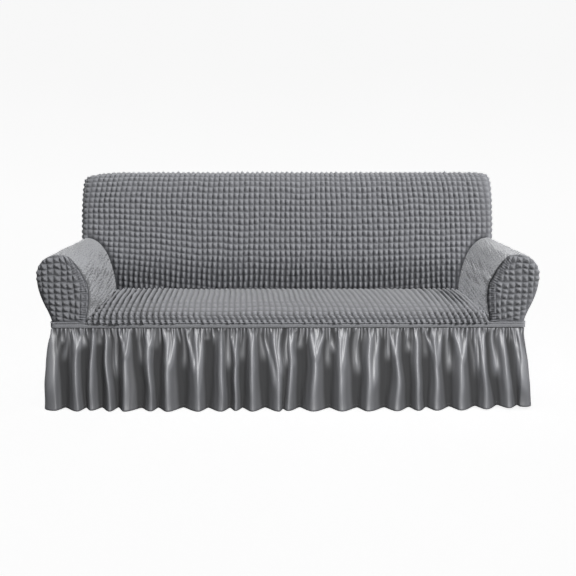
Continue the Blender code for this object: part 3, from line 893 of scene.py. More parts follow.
def gather_tree():
    """Raises the fine gathers under the tape, which die out down the skirt."""
    tree, known = new_tree(
        "Fine gathers",
        (
            ("Depth", "NodeSocketFloat", 0.003),
            ("Reach", "NodeSocketFloat", 0.045),
            ("Seed", "NodeSocketInt", 7),
            ("Cloth", "NodeSocketMaterial", None),
        ),
        ("gather", "drop", "crest"),
    )
    steps = [("number", MATH, FLOOR, {0: "gather"})]
    for name, low, high, shift in (("far", 0.45, 2.1, 3), ("own", 0.7, 1.0, 5)):
        steps += [
            ("seed", MATH, PLUS, {0: "Seed", 1: shift}),
            (name, RANDOM, PLAIN, {2: low, 3: high, "ID": "number", 8: "seed"}),
        ]
    steps += [
        ("arc", MATH, FRACTION, {0: "gather"}),
        ("arc", MATH, TIMES, {0: "arc", 1: math.pi}),
        ("arc", MATH, SINE, {0: "arc"}),
        ("arc", MATH, POWER, {0: "arc", 1: GATHER_POWER}),
        ("reach", MATH, TIMES, {0: "Reach", 1: "far"}),
        ("left", MATH, {"operation": "DIVIDE"}, {0: "drop", 1: "reach"}),
        ("left", MATH, LESS, {0: 1.0, 1: "left"}),
        ("fade", "ShaderNodeMapRange", SMOOTH, {"Value": "left", "From Max": 1.0}),
        ("start", "ShaderNodeMapRange", SMOOTH, {"Value": "drop", "From Max": GATHER_START}),
        ("share", MATH, TIMES, {0: "arc", 1: "own"}),
        ("share", MATH, TIMES, {0: "share", 1: "fade"}),
        ("share", MATH, TIMES, {0: "share", 1: "start"}),
        ("rise", MATH, TIMES, {0: "share", 1: "Depth"}),
        # Each gather paints a highlight along its top into the crest value.
        ("bright", MATH, TIMES, {0: "share", 1: GATHER_PAINTED_HIGHLIGHT}),
        ("crest", MATH, {"operation": "MAXIMUM"}, {0: "crest", 1: "bright"}),
    ]
    add_steps(tree, known, steps)
    return raise_cloth(tree, known, "rise", "crest")


def repeat_tree():
    """Sets a rounded grain at even steps along a line: a stitch, or a rib of the tape."""
    tree, known = new_tree(
        "Grains along a line",
        (
            ("Pitch", "NodeSocketFloat", 0.006),
            ("Size", "NodeSocketVector", (0.004, 0.001, 0.001)),
            ("Uneven", "NodeSocketFloat", 0.1),
            ("Seed", "NodeSocketInt", 1),
            ("Thread", "NodeSocketMaterial", None),
        ),
    )
    spaced = add_node(
        tree,
        "GeometryNodeCurveToPoints",
        {"mode": "LENGTH"},
        {"Curve": known["Geometry"], "Length": known["Pitch"]},
    )
    turned = add_node(
        tree,
        "FunctionNodeAlignRotationToVector",
        {"axis": "X", "pivot_axis": "Z"},
        {"Vector": spaced.outputs["Tangent"]},
    )
    grain = add_node(
        tree, "GeometryNodeMeshUVSphere", inputs={"Segments": 8, "Rings": 4, "Radius": 0.5}
    )
    smooth = add_node(tree, "GeometryNodeSetShadeSmooth", inputs={"Geometry": grain.outputs[0]})
    steps = [
        ("low", MATH, LESS, {0: 1.0, 1: "Uneven"}),
        ("own", RANDOM, PLAIN, {2: "low", 3: 1.0, 8: "Seed"}),
    ]
    add_steps(tree, known, steps)
    scale = add_node(
        tree,
        "ShaderNodeVectorMath",
        {"operation": "SCALE"},
        {0: known["Size"], "Scale": known["own"]},
    )
    row = add_node(
        tree,
        "GeometryNodeInstanceOnPoints",
        inputs={
            "Points": spaced.outputs["Points"],
            "Instance": smooth.outputs[0],
            "Rotation": turned.outputs[0],
            "Scale": scale.outputs[0],
        },
    )
    return close_tree(tree, row.outputs[0], known["Thread"])


# ---------------------------------------------------------------- materials


def new_material(name, inputs):
    """A material with these plain values on its shader, its tree and the shader."""
    material = bpy.data.materials.new(name)
    material.use_nodes = True
    tree = material.node_tree
    tree.nodes.clear()
    shader = add_node(tree, "ShaderNodeBsdfPrincipled", inputs=inputs)
    add_node(tree, "ShaderNodeOutputMaterial", inputs={"Surface": shader.outputs[0]})
    return material, tree, shader


def cloth_place(tree, wide, tall, turn=0.0):
    """Places on the cloth's own map, counted in threads of this width and height."""
    uv = add_node(tree, "ShaderNodeUVMap", {"uv_map": "cloth"}).outputs[0]
    counted = {"Vector": uv, "Rotation": (0, 0, turn), "Scale": (1 / wide, 1 / tall, 1.0)}
    return add_node(tree, "ShaderNodeMapping", inputs=counted).outputs[0]


def cloth_noise(tree, wide, tall, detail, turn=0.0):
    """Noise over the cloth, in spots of this width and height."""
    place = cloth_place(tree, wide, tall, turn)
    spots = {"Vector": place, "Scale": 1.0, "Detail": detail}
    return add_node(tree, "ShaderNodeTexNoise", inputs=spots).outputs[0]


def darker(colour, share):
    """The same colour with less light in it."""
    return [c * share for c in colour]


def knit_material(colours):
    """Puffed polyester and elastane jersey: soft and matt, with painted shade in the grooves between
    puffs, in tucks and in creases.
    """
    finish = {
        "Roughness": 0.82,
        "IOR": 1.5,
        "Specular IOR Level": 0.25,
        "Sheen Weight": 0.25,
        "Sheen Roughness": 0.5,
    }
    material, tree, shader = new_material("puffed_jersey", finish)
    lift, tuck = (
        add_node(tree, "ShaderNodeAttribute", {"attribute_name": key}).outputs["Fac"]
        for key in ("lift", "tuck")
    )
    # Painted shade: low on a puff the knit takes the groove colour, and where the tuck value is high
    # it turns to the near-black colour of painted shade in tucks and creases.
    deep = add_node(
        tree, "ShaderNodeMapRange", {"clamp": True}, {"Value": lift, "From Max": 0.55}
    ).outputs[0]
    groove = add_node(
        tree, "ShaderNodeMix", COLOURS, {0: tuck, 6: colours.knit_groove_shade, 7: colours.knit_tuck_shade}
    ).outputs[2]
    base = add_node(tree, "ShaderNodeMix", COLOURS, {0: deep, 6: groove, 7: colours.knit}).outputs[2]
    # The yarn takes the dye unevenly over 40 mm.
    patch = cloth_noise(tree, 0.040, 0.040, 2.0)
    dyes = {0: patch, 6: darker(colours.knit, 0.88), 7: darker(colours.knit, 1.08)}
    tint = add_node(tree, "ShaderNodeMix", COLOURS, dyes).outputs[2]
    weight = add_node(tree, MATH, TIMES, {0: deep, 1: 0.5}).outputs[0]
    dyed = add_node(tree, "ShaderNodeMix", COLOURS, {0: weight, 6: base, 7: tint}).outputs[2]
    # Light and dark fibres are spun together, which shows as a fine speckle of 5 mm.
    speckle = cloth_noise(tree, 0.005, 0.005, 3.0)
    shades = {0: speckle, 6: (0.55, 0.55, 0.55), 7: (1.45, 1.45, 1.45)}
    fibre = add_node(tree, "ShaderNodeMix", COLOURS, shades).outputs[2]
    colour = add_node(
        tree, "ShaderNodeMix", {**COLOURS, "blend_type": "MULTIPLY"}, {0: 1.0, 6: dyed, 7: fibre}
    ).outputs[2]
    tree.links.new(colour, shader.inputs["Base Color"])
    # Real wales are 1.2 mm wide, too fine to show, so they are drawn at 3 mm.
    place = cloth_place(tree, 0.003, 0.003)
    wales = add_node(
        tree,
        "ShaderNodeTexWave",
        {"wave_type": "BANDS", "bands_direction": "X"},
        {"Vector": place, "Scale": 1 / 1.6, "Distortion": 1.2, "Detail": 1.0},
    ).outputs[1]
    fuzz = cloth_noise(tree, 0.0035, 0.0035, 3.0)
    grain = add_node(
        tree, MATH, {"operation": "MULTIPLY_ADD"}, {0: wales, 1: 0.5, 2: fuzz}
    ).outputs[0]
    relief = {"Strength": 0.5, "Distance": 0.0008, "Height": grain}
    bump = add_node(tree, "ShaderNodeBump", inputs=relief)
    tree.links.new(bump.outputs[0], shader.inputs["Normal"])
    return material


def sleeve_material(colours):
    """Crinkled jersey: paler and smoother than the puffs, with a dry, stippled surface."""
    finish = {
        "Roughness": 0.85,
        "IOR": 1.5,
        "Specular IOR Level": 0.2,
        "Sheen Weight": 0.2,
        "Sheen Roughness": 0.5,
    }
    material, tree, shader = new_material("crinkled_jersey", finish)
    stipple = cloth_noise(tree, 0.005, 0.012, 3.0, 0.1)
    streak = cloth_noise(tree, 0.005, 0.120, 2.0, 0.1)
    # The crinkle's troughs take painted shade, in short dark specks as in a crepe; the lift value
    # also carries the painted shade of the arm's inside and of the crease at the front seam.
    lift = add_node(tree, "ShaderNodeAttribute", {"attribute_name": "lift"}).outputs["Fac"]
    raised = add_node(
        tree, MATH, {"operation": "MULTIPLY_ADD"}, {0: lift, 1: 0.34, 2: stipple}
    ).outputs[0]
    clear = add_node(
        tree,
        "ShaderNodeMapRange",
        {"clamp": True},
        {"Value": raised, "From Min": 0.66, "From Max": 0.80},
    ).outputs[0]
    shades = {0: clear, 6: darker(colours.sleeve, 0.42), 7: darker(colours.sleeve, 1.03)}
    colour = add_node(tree, "ShaderNodeMix", COLOURS, shades).outputs[2]
    tree.links.new(colour, shader.inputs["Base Color"])
    grain = add_node(tree, MATH, PLUS, {0: stipple, 1: streak}).outputs[0]
    relief = {"Strength": 0.7, "Distance": 0.0012, "Height": grain}
    bump = add_node(tree, "ShaderNodeBump", inputs=relief)
    tree.links.new(bump.outputs[0], shader.inputs["Normal"])
    return material


def tape_material(colours):
    """Woven elastic tape: dense ribs with a slight shine on their crowns."""
    finish = {"Roughness": 0.7, "IOR": 1.5, "Specular IOR Level": 0.3}
    material, tree, shader = new_material("woven_elastic", finish)
    # The yarns of the weave are 1 mm; they are drawn as specks of 8 by 5 mm so that they show.
    speck = cloth_noise(tree, 0.008, 0.005, 3.0)
    shades = {0: speck, 6: darker(colours.tape, 0.45), 7: darker(colours.tape, 1.4)}
    colour = add_node(tree, "ShaderNodeMix", COLOURS, shades).outputs[2]
    tree.links.new(colour, shader.inputs["Base Color"])
    relief = {"Strength": 0.6, "Distance": 0.0008, "Height": speck}
    bump = add_node(tree, "ShaderNodeBump", inputs=relief)
    tree.links.new(bump.outputs[0], shader.inputs["Normal"])
    return material


def satin_material(colours):
    """Polyester satin: floats of bright yarn give soft upright highlights on every fold, with painted
    highlights on the crests and painted shade in the valleys.
    """
    finish = {"IOR": 1.5, "Specular IOR Level": 0.6}
    material, tree, shader = new_material("polyester_satin", finish)
    crest = add_node(tree, "ShaderNodeAttribute", {"attribute_name": "crest"}).outputs["Fac"]
    # The cloth clouds over 50 mm across and 160 mm down.
    cloud = cloth_noise(tree, 0.050, 0.160, 2.0)
    shades = {0: cloud, 6: darker(colours.satin, 0.9), 7: darker(colours.satin, 1.1)}
    bright = add_node(tree, "ShaderNodeMix", COLOURS, shades).outputs[2]
    # Painted shade and painted highlight: the crest value mixes the cloth from near black in the
    # valleys to its full colour on the crests.
    shades = {0: crest, 6: darker(colours.satin, 0.11), 7: bright}
    colour = add_node(tree, "ShaderNodeMix", COLOURS, shades).outputs[2]
    tree.links.new(colour, shader.inputs["Base Color"])
    # Only the stretched crests shine; the valleys between them lie slack and dull.
    gleam = add_node(
        tree,
        "ShaderNodeMapRange",
        {"clamp": True},
        {"Value": crest, "From Max": 0.5, "To Min": 0.95, "To Max": 0.45},
    ).outputs[0]
    tree.links.new(gleam, shader.inputs["Roughness"])
    # Satin floats are 0.3 mm wide; drawn at 2 mm across and 10 mm down so that they show.
    floats = cloth_noise(tree, 0.002, 0.010, 2.0)
    relief = {"Strength": 0.35, "Distance": 0.0005, "Height": floats}
    bump = add_node(tree, "ShaderNodeBump", inputs=relief)
    tree.links.new(bump.outputs[0], shader.inputs["Normal"])
    return material


def thread_material(colours):
    """Spun polyester thread: thin twisted strands with a dull gleam."""
    material, tree, shader = new_material("spun_thread", {"Roughness": 0.6, "IOR": 1.5})
    # The twist repeats every millimetre or so.
    place = add_node(tree, "ShaderNodeTexCoord").outputs["Object"]
    twist = add_node(
        tree, "ShaderNodeTexNoise", inputs={"Vector": place, "Scale": 900.0, "Detail": 1.0}
    ).outputs[0]
    shades = {0: twist, 6: darker(colours.thread, 0.75), 7: darker(colours.thread, 1.15)}
    colour = add_node(tree, "ShaderNodeMix", COLOURS, shades).outputs[2]
    tree.links.new(colour, shader.inputs["Base Color"])
    return material


def floor_material():
    """Matt white studio floor, which glows a little so that it stays white."""
    finish = {"Emission Strength": 0.965, "Roughness": 0.9, "Specular IOR Level": 0.1}
    material, tree, shader = new_material("studio_floor", finish)
    place = add_node(tree, "ShaderNodeTexCoord").outputs["Object"]
    grain = add_node(
        tree, "ShaderNodeTexNoise", inputs={"Vector": place, "Scale": 0.8, "Detail": 1.0}
    ).outputs[0]
    white = linear("#F6F6F6")
    shades = {0: grain, 6: darker(white, 0.99), 7: white}
    colour = add_node(tree, "ShaderNodeMix", COLOURS, shades).outputs[2]
    for key in ("Base Color", "Emission Color"):
        tree.links.new(colour, shader.inputs[key])
    return material


MAKERS = {
    "puffed_jersey": knit_material,
    "crinkled_jersey": sleeve_material,
    "woven_elastic": tape_material,
    "polyester_satin": satin_material,
    "spun_thread": thread_material,
}
TREES = {"Puffed knit": puff_tree, "Fine gathers": gather_tree, "Grains along a line": repeat_tree}


def material_of(name):
    """The material of this name, made the first time that it is asked for."""
    return bpy.data.materials.get(name) or MAKERS[name](bpy.context.scene.cover_colours)


def tree_of(name):
    """The tree of this name, made the first time that it is asked for."""
    return bpy.data.node_groups.get(name) or TREES[name]()


def puffed(obj, height, nodes):
    """Raise the puffs of a cloth that carries its cells, and finish it."""
    knit = bpy.context.scene.cover_knit
    settings = {
        "Height": height,
        "Pointed": knit.pointed,
        "Uneven": knit.uneven,
        "Seed": knit.seed,
        "Cloth": material_of("puffed_jersey"),
    }
    return finished(grown(obj, tree_of("Puffed knit"), settings), nodes)


def add_grains(line, pitch, size, uneven_share, seed, thread, slot, nodes=()):
    """Grow grains along a line: stitches, ribs or twists of a cord."""
    settings = {
        "Pitch": pitch,
        "Size": size,
        "Uneven": uneven_share,
        "Seed": seed,
        "Thread": material_of(thread),
    }
    return finished(grown(line, tree_of("Grains along a line"), settings), nodes)


# ---------------------------------------------------------------- the back


def back_lengths():
    """Length down the face from the top line at each step of the section levels."""
    levels = np.linspace(len(BACK_SECTIONS) - 1, 0, 481)
    rows = table_rows(BACK_SECTIONS, levels)
    steps = np.hypot(np.diff(rows[:, 0]), np.diff(rows[:, 1]))
    return levels, np.concatenate([[0.0], np.cumsum(steps)]), rows[:, 0]


def hood_levels(rows, pitch):
    """Section level of each row of puffs, where the rows are this far apart on the face."""
    levels, lengths, heights = back_lengths()
    shown = np.interp(-HIDDEN_BELOW, -heights, lengths)
    rolled = ROLL_ROWS * ROLL_PITCH
    last = ROLL_ROWS + (shown - rolled) / pitch
    down = np.where(
        rows < ROLL_ROWS,
        rows * ROLL_PITCH,
        np.where(
            rows < last,
            rolled + (rows - ROLL_ROWS) * pitch,
            shown + (rows - last) / (HOOD_ROWS - last) * (lengths[-1] - shown),
        ),
    )
    return np.interp(down, lengths, levels)


def hood_parts():
    """Where each part of the ring of puffs ends, counted from the left end of the face."""
    counts = (HOOD_FACE, HOOD_CORNER, HOOD_END, HOOD_REAR_CORNER)
    return np.cumsum((0, *counts, HOOD_FACE, *counts[:0:-1]))


def ring_points(place, level):
    """Points of the hood at places round it and section levels, both in one grid."""
    z, front, rear, half, radius = np.moveaxis(table_rows(BACK_SECTIONS, level), -1, 0)
    open_share = np.clip(len(BACK_SECTIONS) - 1 - level, 0.0, 1.0)
    corner, hem = REAR_CORNER * open_share, REAR_HEM * open_share
    ends = hood_parts()
    total = ends[-1]
    place = np.mod(place, total)
    side = np.where((place > ends[1] / 2) & (place <= (ends[4] + ends[5]) / 2), 1.0, -1.0)
    # Count from the middle of the face outwards, and from there to the middle of the rear.
    past = np.where(side > 0, place, np.mod(ends[1] - place, total))
    face, rounded, flank, rear_round, behind = (
        (past - ends[k]) / (ends[k + 1] - ends[k]) for k in range(5)
    )
    x = (2 * face - 1) * (half - radius)
    depth = front + 0 * x
    turn = np.clip(rounded, 0, 1) * math.pi / 2
    x = np.where(rounded > 0, half - radius + radius * np.sin(turn), x)
    depth = np.where(rounded > 0, front + radius - radius * np.cos(turn), depth)
    ahead, back = front + radius, rear - corner
    depth = np.where(flank > 0, ahead + (back - ahead) * np.clip(flank, 0, 1), depth)
    turn = np.clip(rear_round / 0.8, 0, 1) * math.pi / 2
    over = np.clip((rear_round - 0.8) / 0.2, 0, 1)
    x = np.where(rear_round > 0, half - corner + corner * np.cos(turn) - hem * over, x)
    depth = np.where(rear_round > 0, back + corner * np.sin(turn), depth)
    x = np.where(behind > 0, (1 - 2 * behind) * (half - corner - hem), x)
    x = x * side
    z = z - shoulder(x, (level / (len(BACK_SECTIONS) - 1)) ** 2)
    return placed(x, depth, z)


def hood_pitch(place):
    """How far apart the rows of puffs are, round the ring."""
    ends = hood_parts()
    x = (2 * place / HOOD_FACE - 1) * WAIST_HALF_WIDTH
    face = smooth_rows(np.clip(x, -1, 1), ROW_PITCH[:, 0], ROW_PITCH[:, 1])
    right, left = ROW_PITCH[-1, 1], ROW_PITCH[0, 1]
    keys = (ends[1], ends[3], ends[4], ends[5], ends[6], ends[-1])
    rest = np.interp(place, keys, (right, right, REAR_PITCH, REAR_PITCH, left, left))
    return np.where(place <= ends[1], face, rest)


class COVER_OT_back_hood(bpy.types.Operator):
    """Make the puffed hood over the back"""

    bl_idname = "cover.back_hood"
    bl_label = "Back hood"

    def execute(self, context):
        ends = hood_parts()
        # The top line runs over the middle of a row of puffs.
        lines = np.clip(HOOD_ROWS + 0.5 - puff_lines(HOOD_ROWS + 1, LINES_UP), 0, HOOD_ROWS)
        lines = np.unique(lines.round(6))[::-1]
        across, up = np.meshgrid(puff_lines(ends[-1], LINES_ACROSS), lines)
        front = np.interp(across, (0, 2, ends[1] - 2, ends[1]), (0, 1, 1, 0))
        down = eased(up / 3)
        place = across + front * down * uneven(across, up, HOOD_WANDER[0])
        rows = up + front * down * uneven(across, up, HOOD_WANDER[1])
        rows = np.clip(rows, 0, HOOD_ROWS)
        points = ring_points(place, hood_levels(rows, hood_pitch(across)))
        middle = 0.25 * (points[1:, 1:] + points[:-1, 1:] + points[1:, :-1] + points[:-1, :-1])
        centre = 0.5 * (across[0, 1:] + across[0, :-1])
        on_face = np.broadcast_to(centre < ends[1], middle.shape[:2])
        in_arm = on_face & (middle[..., 2] < ARM_OPENING_TOP)
        in_arm &= np.abs(middle[..., 0]) > arm_inner(middle[..., 2]) + ARM_OPENING_HEM
        behind = np.broadcast_to((centre > ends[4]) & (centre < ends[5]), in_arm.shape)
        behind = behind & (0.5 * (up[1:, 1:] + up[:-1, 1:]) > REAR_ROWS)
        relief = np.clip(cell_size(points, across, HOOD_ROWS - up) / FULL_PUFF, 0, 1)
        # At the rear the last row is pressed flat into the seam.
        at_rear = (across > ends[4]) & (across < ends[5])
        relief = relief * np.where(at_rear, eased(np.abs(REAR_ROWS - up) / 0.6), 1.0)
        # The cloth is stretched hardest round the corners and over the ends.
        from_face = np.minimum(across, np.abs(ends[1] - across))
        slack = np.where(across > ends[1], 0.0, eased(from_face / 1.5))
        relief = relief * (STRETCHED_RELIEF + (1 - STRETCHED_RELIEF) * slack)
        # Where the cloth is pulled down into the seat its puffs turn narrow and take painted shade.
        tuck = eased((TUCK_TOP - points[..., 2]) / TUCK_REACH)
        # It dives into a crease beside the sleeves, which is darkened with painted shade.
        flat = np.stack([np.abs(points[..., 0]), points[..., 2]], -1).reshape(-1, 2)
        edge = distance_to_line(flat, ARM_PROFILE[:, 2:])[0].reshape(across.shape)
        crease = (across < ends[1]) * np.exp(-((edge / SLEEVE_CREASE) ** 2))
        relief = relief * (1 - 0.9 * crease)
        obj = add_cloth(
            "back_hood_cloth",
            points,
            (across * PUFF_WIDE, (HOOD_ROWS - up) * PUFF_TALL),
            {
                "across": across,
                "up": HOOD_ROWS - up + 0.5,
                "relief": relief,
                "row_share": 1.0 - 0.1 * tuck,
                "narrow": 1.8 * tuck,
                # Painted shade: darker low down towards the seat and in the crease beside the
                # sleeves.
                "tuck": np.clip(0.15 + 0.8 * tuck + crease, 0, 1),
            },
            ~(in_arm | behind),
            weld=True,
        )
        puffed(obj, context.scene.cover_knit.puff_height, ["back_hood"])
        return {"FINISHED"}


class COVER_OT_rear_panel(bpy.types.Operator):
    """Make the flat outside back"""

    bl_idname = "cover.rear_panel"
    bl_label = "Outside back"

    def execute(self, context):
        across, up = np.meshgrid(
            puff_lines(HOOD_FACE, LINES_ACROSS), puff_lines(REAR_PANEL_ROWS, LINES_UP)
        )
        share = up / REAR_PANEL_ROWS
        low, high = BACK_SECTIONS[0, 0], BACK_SECTIONS[REAR_SEAM_LEVEL, 0] - 2 * SEAM_GAP
        edge = np.sin(math.pi * share) * np.sin(math.pi * across / HOOD_FACE)
        z = low + (high - low) * share + edge * uneven(across, up, REAR_WANDER[1])
        level = np.interp(z, BACK_SECTIONS[:, 0], np.arange(len(BACK_SECTIONS)))
        rear, half = (np.interp(z, BACK_SECTIONS[:, 0], BACK_SECTIONS[:, k]) for k in (2, 3))
        half = half - REAR_CORNER - REAR_HEM - SEAM_GAP
        x = (1 - 2 * across / HOOD_FACE) * half + edge * uneven(across, up, REAR_WANDER[0])
        z = z - shoulder(x, (level / (len(BACK_SECTIONS) - 1)) ** 2)
        obj = add_cloth(
            "back_rear_panel_cloth",
            placed(x, rear, z),
            (across * PUFF_WIDE, up * REAR_PUFF_TALL),
            {"across": across, "up": up, "relief": 1.0, "row_share": 1.0},
        )
        height = context.scene.cover_knit.puff_height
        puffed(obj, height, ["back_rear_panel"])
        return {"FINISHED"}


# ---------------------------------------------------------------- the seat


class COVER_OT_seat(bpy.types.Operator):
    """Make the seat, over its front edge to the tape"""

    bl_idname = "cover.seat"
    bl_label = "Seat"

    def execute(self, context):
        count = len(SEAT_ROWS) - 1
        across, up = np.meshgrid(puff_lines(SEAT_PUFFS, LINES_ACROSS), puff_lines(count, LINES_UP))
        fine = table_rows(SEAT_PROFILE, np.linspace(0, len(SEAT_PROFILE) - 1, 521))
        steps = np.hypot(np.diff(fine[:, 0]), np.diff(fine[:, 1]))
        lengths = np.concatenate([[0.0], np.cumsum(steps)])
        lengths *= SEAT_ROWS[-1, 0] / lengths[-1]
        inside = np.sin(math.pi * across / SEAT_PUFFS) * np.sin(math.pi * up / count)
        rows = np.clip(up + inside * uneven(across, up * 3, SEAT_WANDER[1]), 0, count)
        along = smooth_rows(rows, np.arange(count + 1), SEAT_ROWS[:, 0])
        depth, z, curled = (np.interp(along, lengths, fine[:, k]) for k in range(3))
        slope = np.gradient(fine[:, :2], axis=0)
        slope /= np.linalg.norm(slope, axis=1)[:, None]
        forward, upward = (np.interp(along, lengths, slope[:, k]) for k in range(2))
        length = SEAT_PROFILE[-1, 0]
        inner_front, inner_back = ARM_PROFILE[-1, 0], ARM_PROFILE[-1, 2]
        half = inner_front + (inner_back - inner_front) * arm_turn(depth / length)
        # It is sewn to the arm fronts, and only tucked in beside the sleeves.
        half = half - SEAM_GAP - (TUCK_GAP - SEAM_GAP) * eased(depth / ARM_PANEL_SEAM)
        share = 2 * across / SEAT_PUFFS - 1
        drift = smooth_rows(share, SEAT_DRIFT[:, 0], SEAT_DRIFT[:, 1])
        share = share + drift * depth / length
        share = share + inside * uneven(across, up * 3, SEAT_WANDER[0])
        # Over the front edge they are dragged to the right.
        share = share + SEAT_DRAG * (1 - eased(along / SEAT_EDGE)) * (1 - share**2)
        curl = smooth_rows(np.abs(share), SEAT_COLUMNS, SEAT_CURL) * curled
        crown = SEAT_CROWN * np.sin(math.pi * depth / length) * (1 - share**2)
        points = placed(share * half, depth + curl * upward, z + crown - curl * forward)
        # The grooves are deep by the arms and the front edge, and shallow in the middle.
        zones = (
            1.0,
            eased((SEAT_EDGE_ZONE[0] - depth) / SEAT_EDGE_ZONE[1]),
            eased((-share - SEAT_LEFT_ZONE[0]) / SEAT_LEFT_ZONE[1]),
            eased((share - SEAT_RIGHT_ZONE[0]) / SEAT_RIGHT_ZONE[1]),
        )
        deeper, painted_shade, narrowed = (
            sum(weight * zone for weight, zone in zip(weights, zones)) for weights in SEAT_ZONES
        )
        crease = np.exp(-(((1 - np.abs(share)) * half / SEAT_CREASE) ** 2))
        filled = np.clip(cell_size(points, across, up) / FULL_RIDGE, 0, 1)
        row_share = smooth_rows(up, np.arange(count + 1), SEAT_ROWS[:, 1])
        obj = add_cloth(
            "seat_cloth",
            points,
            (across * RIDGE_WIDE, along),
            {
                "across": across,
                "up": up,
                "relief": filled * deeper * (1 - crease),
                "row_share": row_share,
                # Painted shade, heavier at the front edge and by the arms, and in the crease beside
                # them.
                "tuck": np.clip(painted_shade + crease, 0, 1),
                "narrow": narrowed,
            },
        )
        puffed(obj, context.scene.cover_knit.seat_height, ["seat_cover"])
        return {"FINISHED"}


# ---------------------------------------------------------------- the arms


def distance_to_line(points, line):
    """Distance of each point from a polyline, and how far along the line its nearest lies."""
    starts, along = line[:-1], line[1:] - line[:-1]
    sizes = np.linalg.norm(along, axis=1)
    best = np.full(len(points), np.inf)
    where = np.zeros(len(points))
    behind = np.concatenate([[0.0], np.cumsum(sizes)])
    for start, step, size, before in zip(starts, along, sizes, behind):
        share = np.clip(((points - start) @ step) / size**2, 0.0, 1.0)
        away = np.linalg.norm(points - start - share[:, None] * step, axis=1)
        nearer = away < best
        best, where = np.where(nearer, away, best), np.where(nearer, before + share * size, where)
    return best, where


def arm_outline(station, count):
    """Points round the arm at a station, by even steps of the profile's rows."""
    rows = table_rows(ARM_PROFILE, np.linspace(0, len(ARM_PROFILE) - 1, count))
    x = rows[:, 0] + (rows[:, 2] - rows[:, 0]) * arm_turn(station)
    z = rows[:, 1] + (rows[:, 3] - rows[:, 1]) * station
    return x, z


def add_arm_front(context, name, node, side):
    """The puffed front panel of one arm, rolled back into its seam."""
    outline = np.column_stack(arm_outline(0.0, 401))
    top = int(round(ARM_TOP_ROW / (len(ARM_PROFILE) - 1) * 400))
    lines = np.linspace(0.0, 1.0, 111)
    inside = outline[top:][::-1]
    outer, inner = resampled(outline[: top + 1], lines), resampled(inside, lines)
    lowest, first, last = BACK_SECTIONS[0, 0], inner[0, 1], inner[-1, 1]
    inner[:, 1] = lowest + (inner[:, 1] - first) * (last - lowest) / (last - first)
    inner[:, 0] = np.interp(inner[:, 1], inside[:, 1], inside[:, 0])
    across = 0.5 - 0.5 * np.cos(math.pi * np.linspace(0.0, 1.0, 91))
    grid = inner[:, None] + (outer - inner)[:, None] * across[None, :, None]
    wide, high = grid[..., 0], grid[..., 1]
    away, along = distance_to_line(grid.reshape(-1, 2), outline[::4])
    away, along = away.reshape(wide.shape), along.reshape(wide.shape)
    roll = np.clip(away / ARM_PANEL_ROLL, 0.0, 1.0)
    depth = ARM_PANEL_SEAM * (1.0 - np.sqrt(1.0 - (1.0 - roll) ** 2))
    # At the tape its inner edge comes forward again.
    to_seam = wide - inner[:, None, 0]
    depth = depth * (1 - (1 - eased(to_seam / 0.06)) * (1 - eased((high - 0.368) / 0.02)))
    points = placed(side * wide, depth, high)
    # The puffs lean near the tape, and crowd together at the inner seam.
    low = eased((0.50 - high) / 0.14)
    cell_x = (ARM_PUFFS_FROM[0] - wide) / ARM_PUFF[0] + 0.9 * np.exp(-to_seam / 0.022)
    cell_x = cell_x + uneven(wide, high, ARM_WANDER[0])
    cell_z = (high - ARM_PUFFS_FROM[1]) / ARM_PUFF[1] - (wide - 0.93) * 9.0 * low
    cell_z = cell_z + uneven(wide, high, ARM_WANDER[1])
    # Over the top and down the inside the seam draws the cloth into short puckers.
    near = eased((along - outline_length(outline, top) - 0.02) / 0.06) * (away < 0.05)
    drawn = near * np.exp(-(((away - 0.017) / 0.012) ** 2))
    seam = near * np.exp(-((away / 0.006) ** 2))
    pucker = np.sin(2 * math.pi * along / ARM_PUCKER_PITCH) * drawn
    relief = (1 - 0.8 * drawn) * eased((away - 0.0003) / 0.003) * eased((high - 0.376) / 0.02)
    # Low down the outer edge is stretched nearly flat.
    rim = (1 - near) * np.exp(-((away / 0.018) ** 2))
    relief = relief * (1 - 0.7 * rim * eased((0.60 - high) / 0.08)) * (1 - seam)
    parts = (points, cell_x, cell_z, relief, pucker, seam, wide, high)
    if side < 0:
        parts = (part[:, ::-1] for part in parts)
    points, cell_x, cell_z, relief, pucker, seam, wide, high = parts
    obj = add_cloth(
        name,
        pushed(points, ARM_PUCKER * pucker),
        (side * wide, high),
        {
            "across": cell_x,
            "up": cell_z + 20.0,
            "relief": relief,
            "row_share": 1.0,
            # Painted shade: darker in the troughs of the puckers and along the crease of the seam.
            "tuck": np.clip(0.1 - 0.2 * pucker + seam, 0, 1),
        },
    )
    puffed(obj, context.scene.cover_knit.arm_height, [node])


def outline_length(outline, top):
    """Length round the arm's outline up to its top."""
    return np.linalg.norm(np.diff(outline[: top + 1], axis=0), axis=1).sum()


class COVER_OT_arm_fronts(bpy.types.Operator):
    """Make the puffed front panels of the arms"""

    bl_idname = "cover.arm_fronts"
    bl_label = "Arm fronts"

    def execute(self, context):
        add_arm_front(context, "arm_front_left_cloth", "arm_front_left", -1.0)
        add_arm_front(context, "arm_front_right_cloth", "arm_front_right", 1.0)
        return {"FINISHED"}


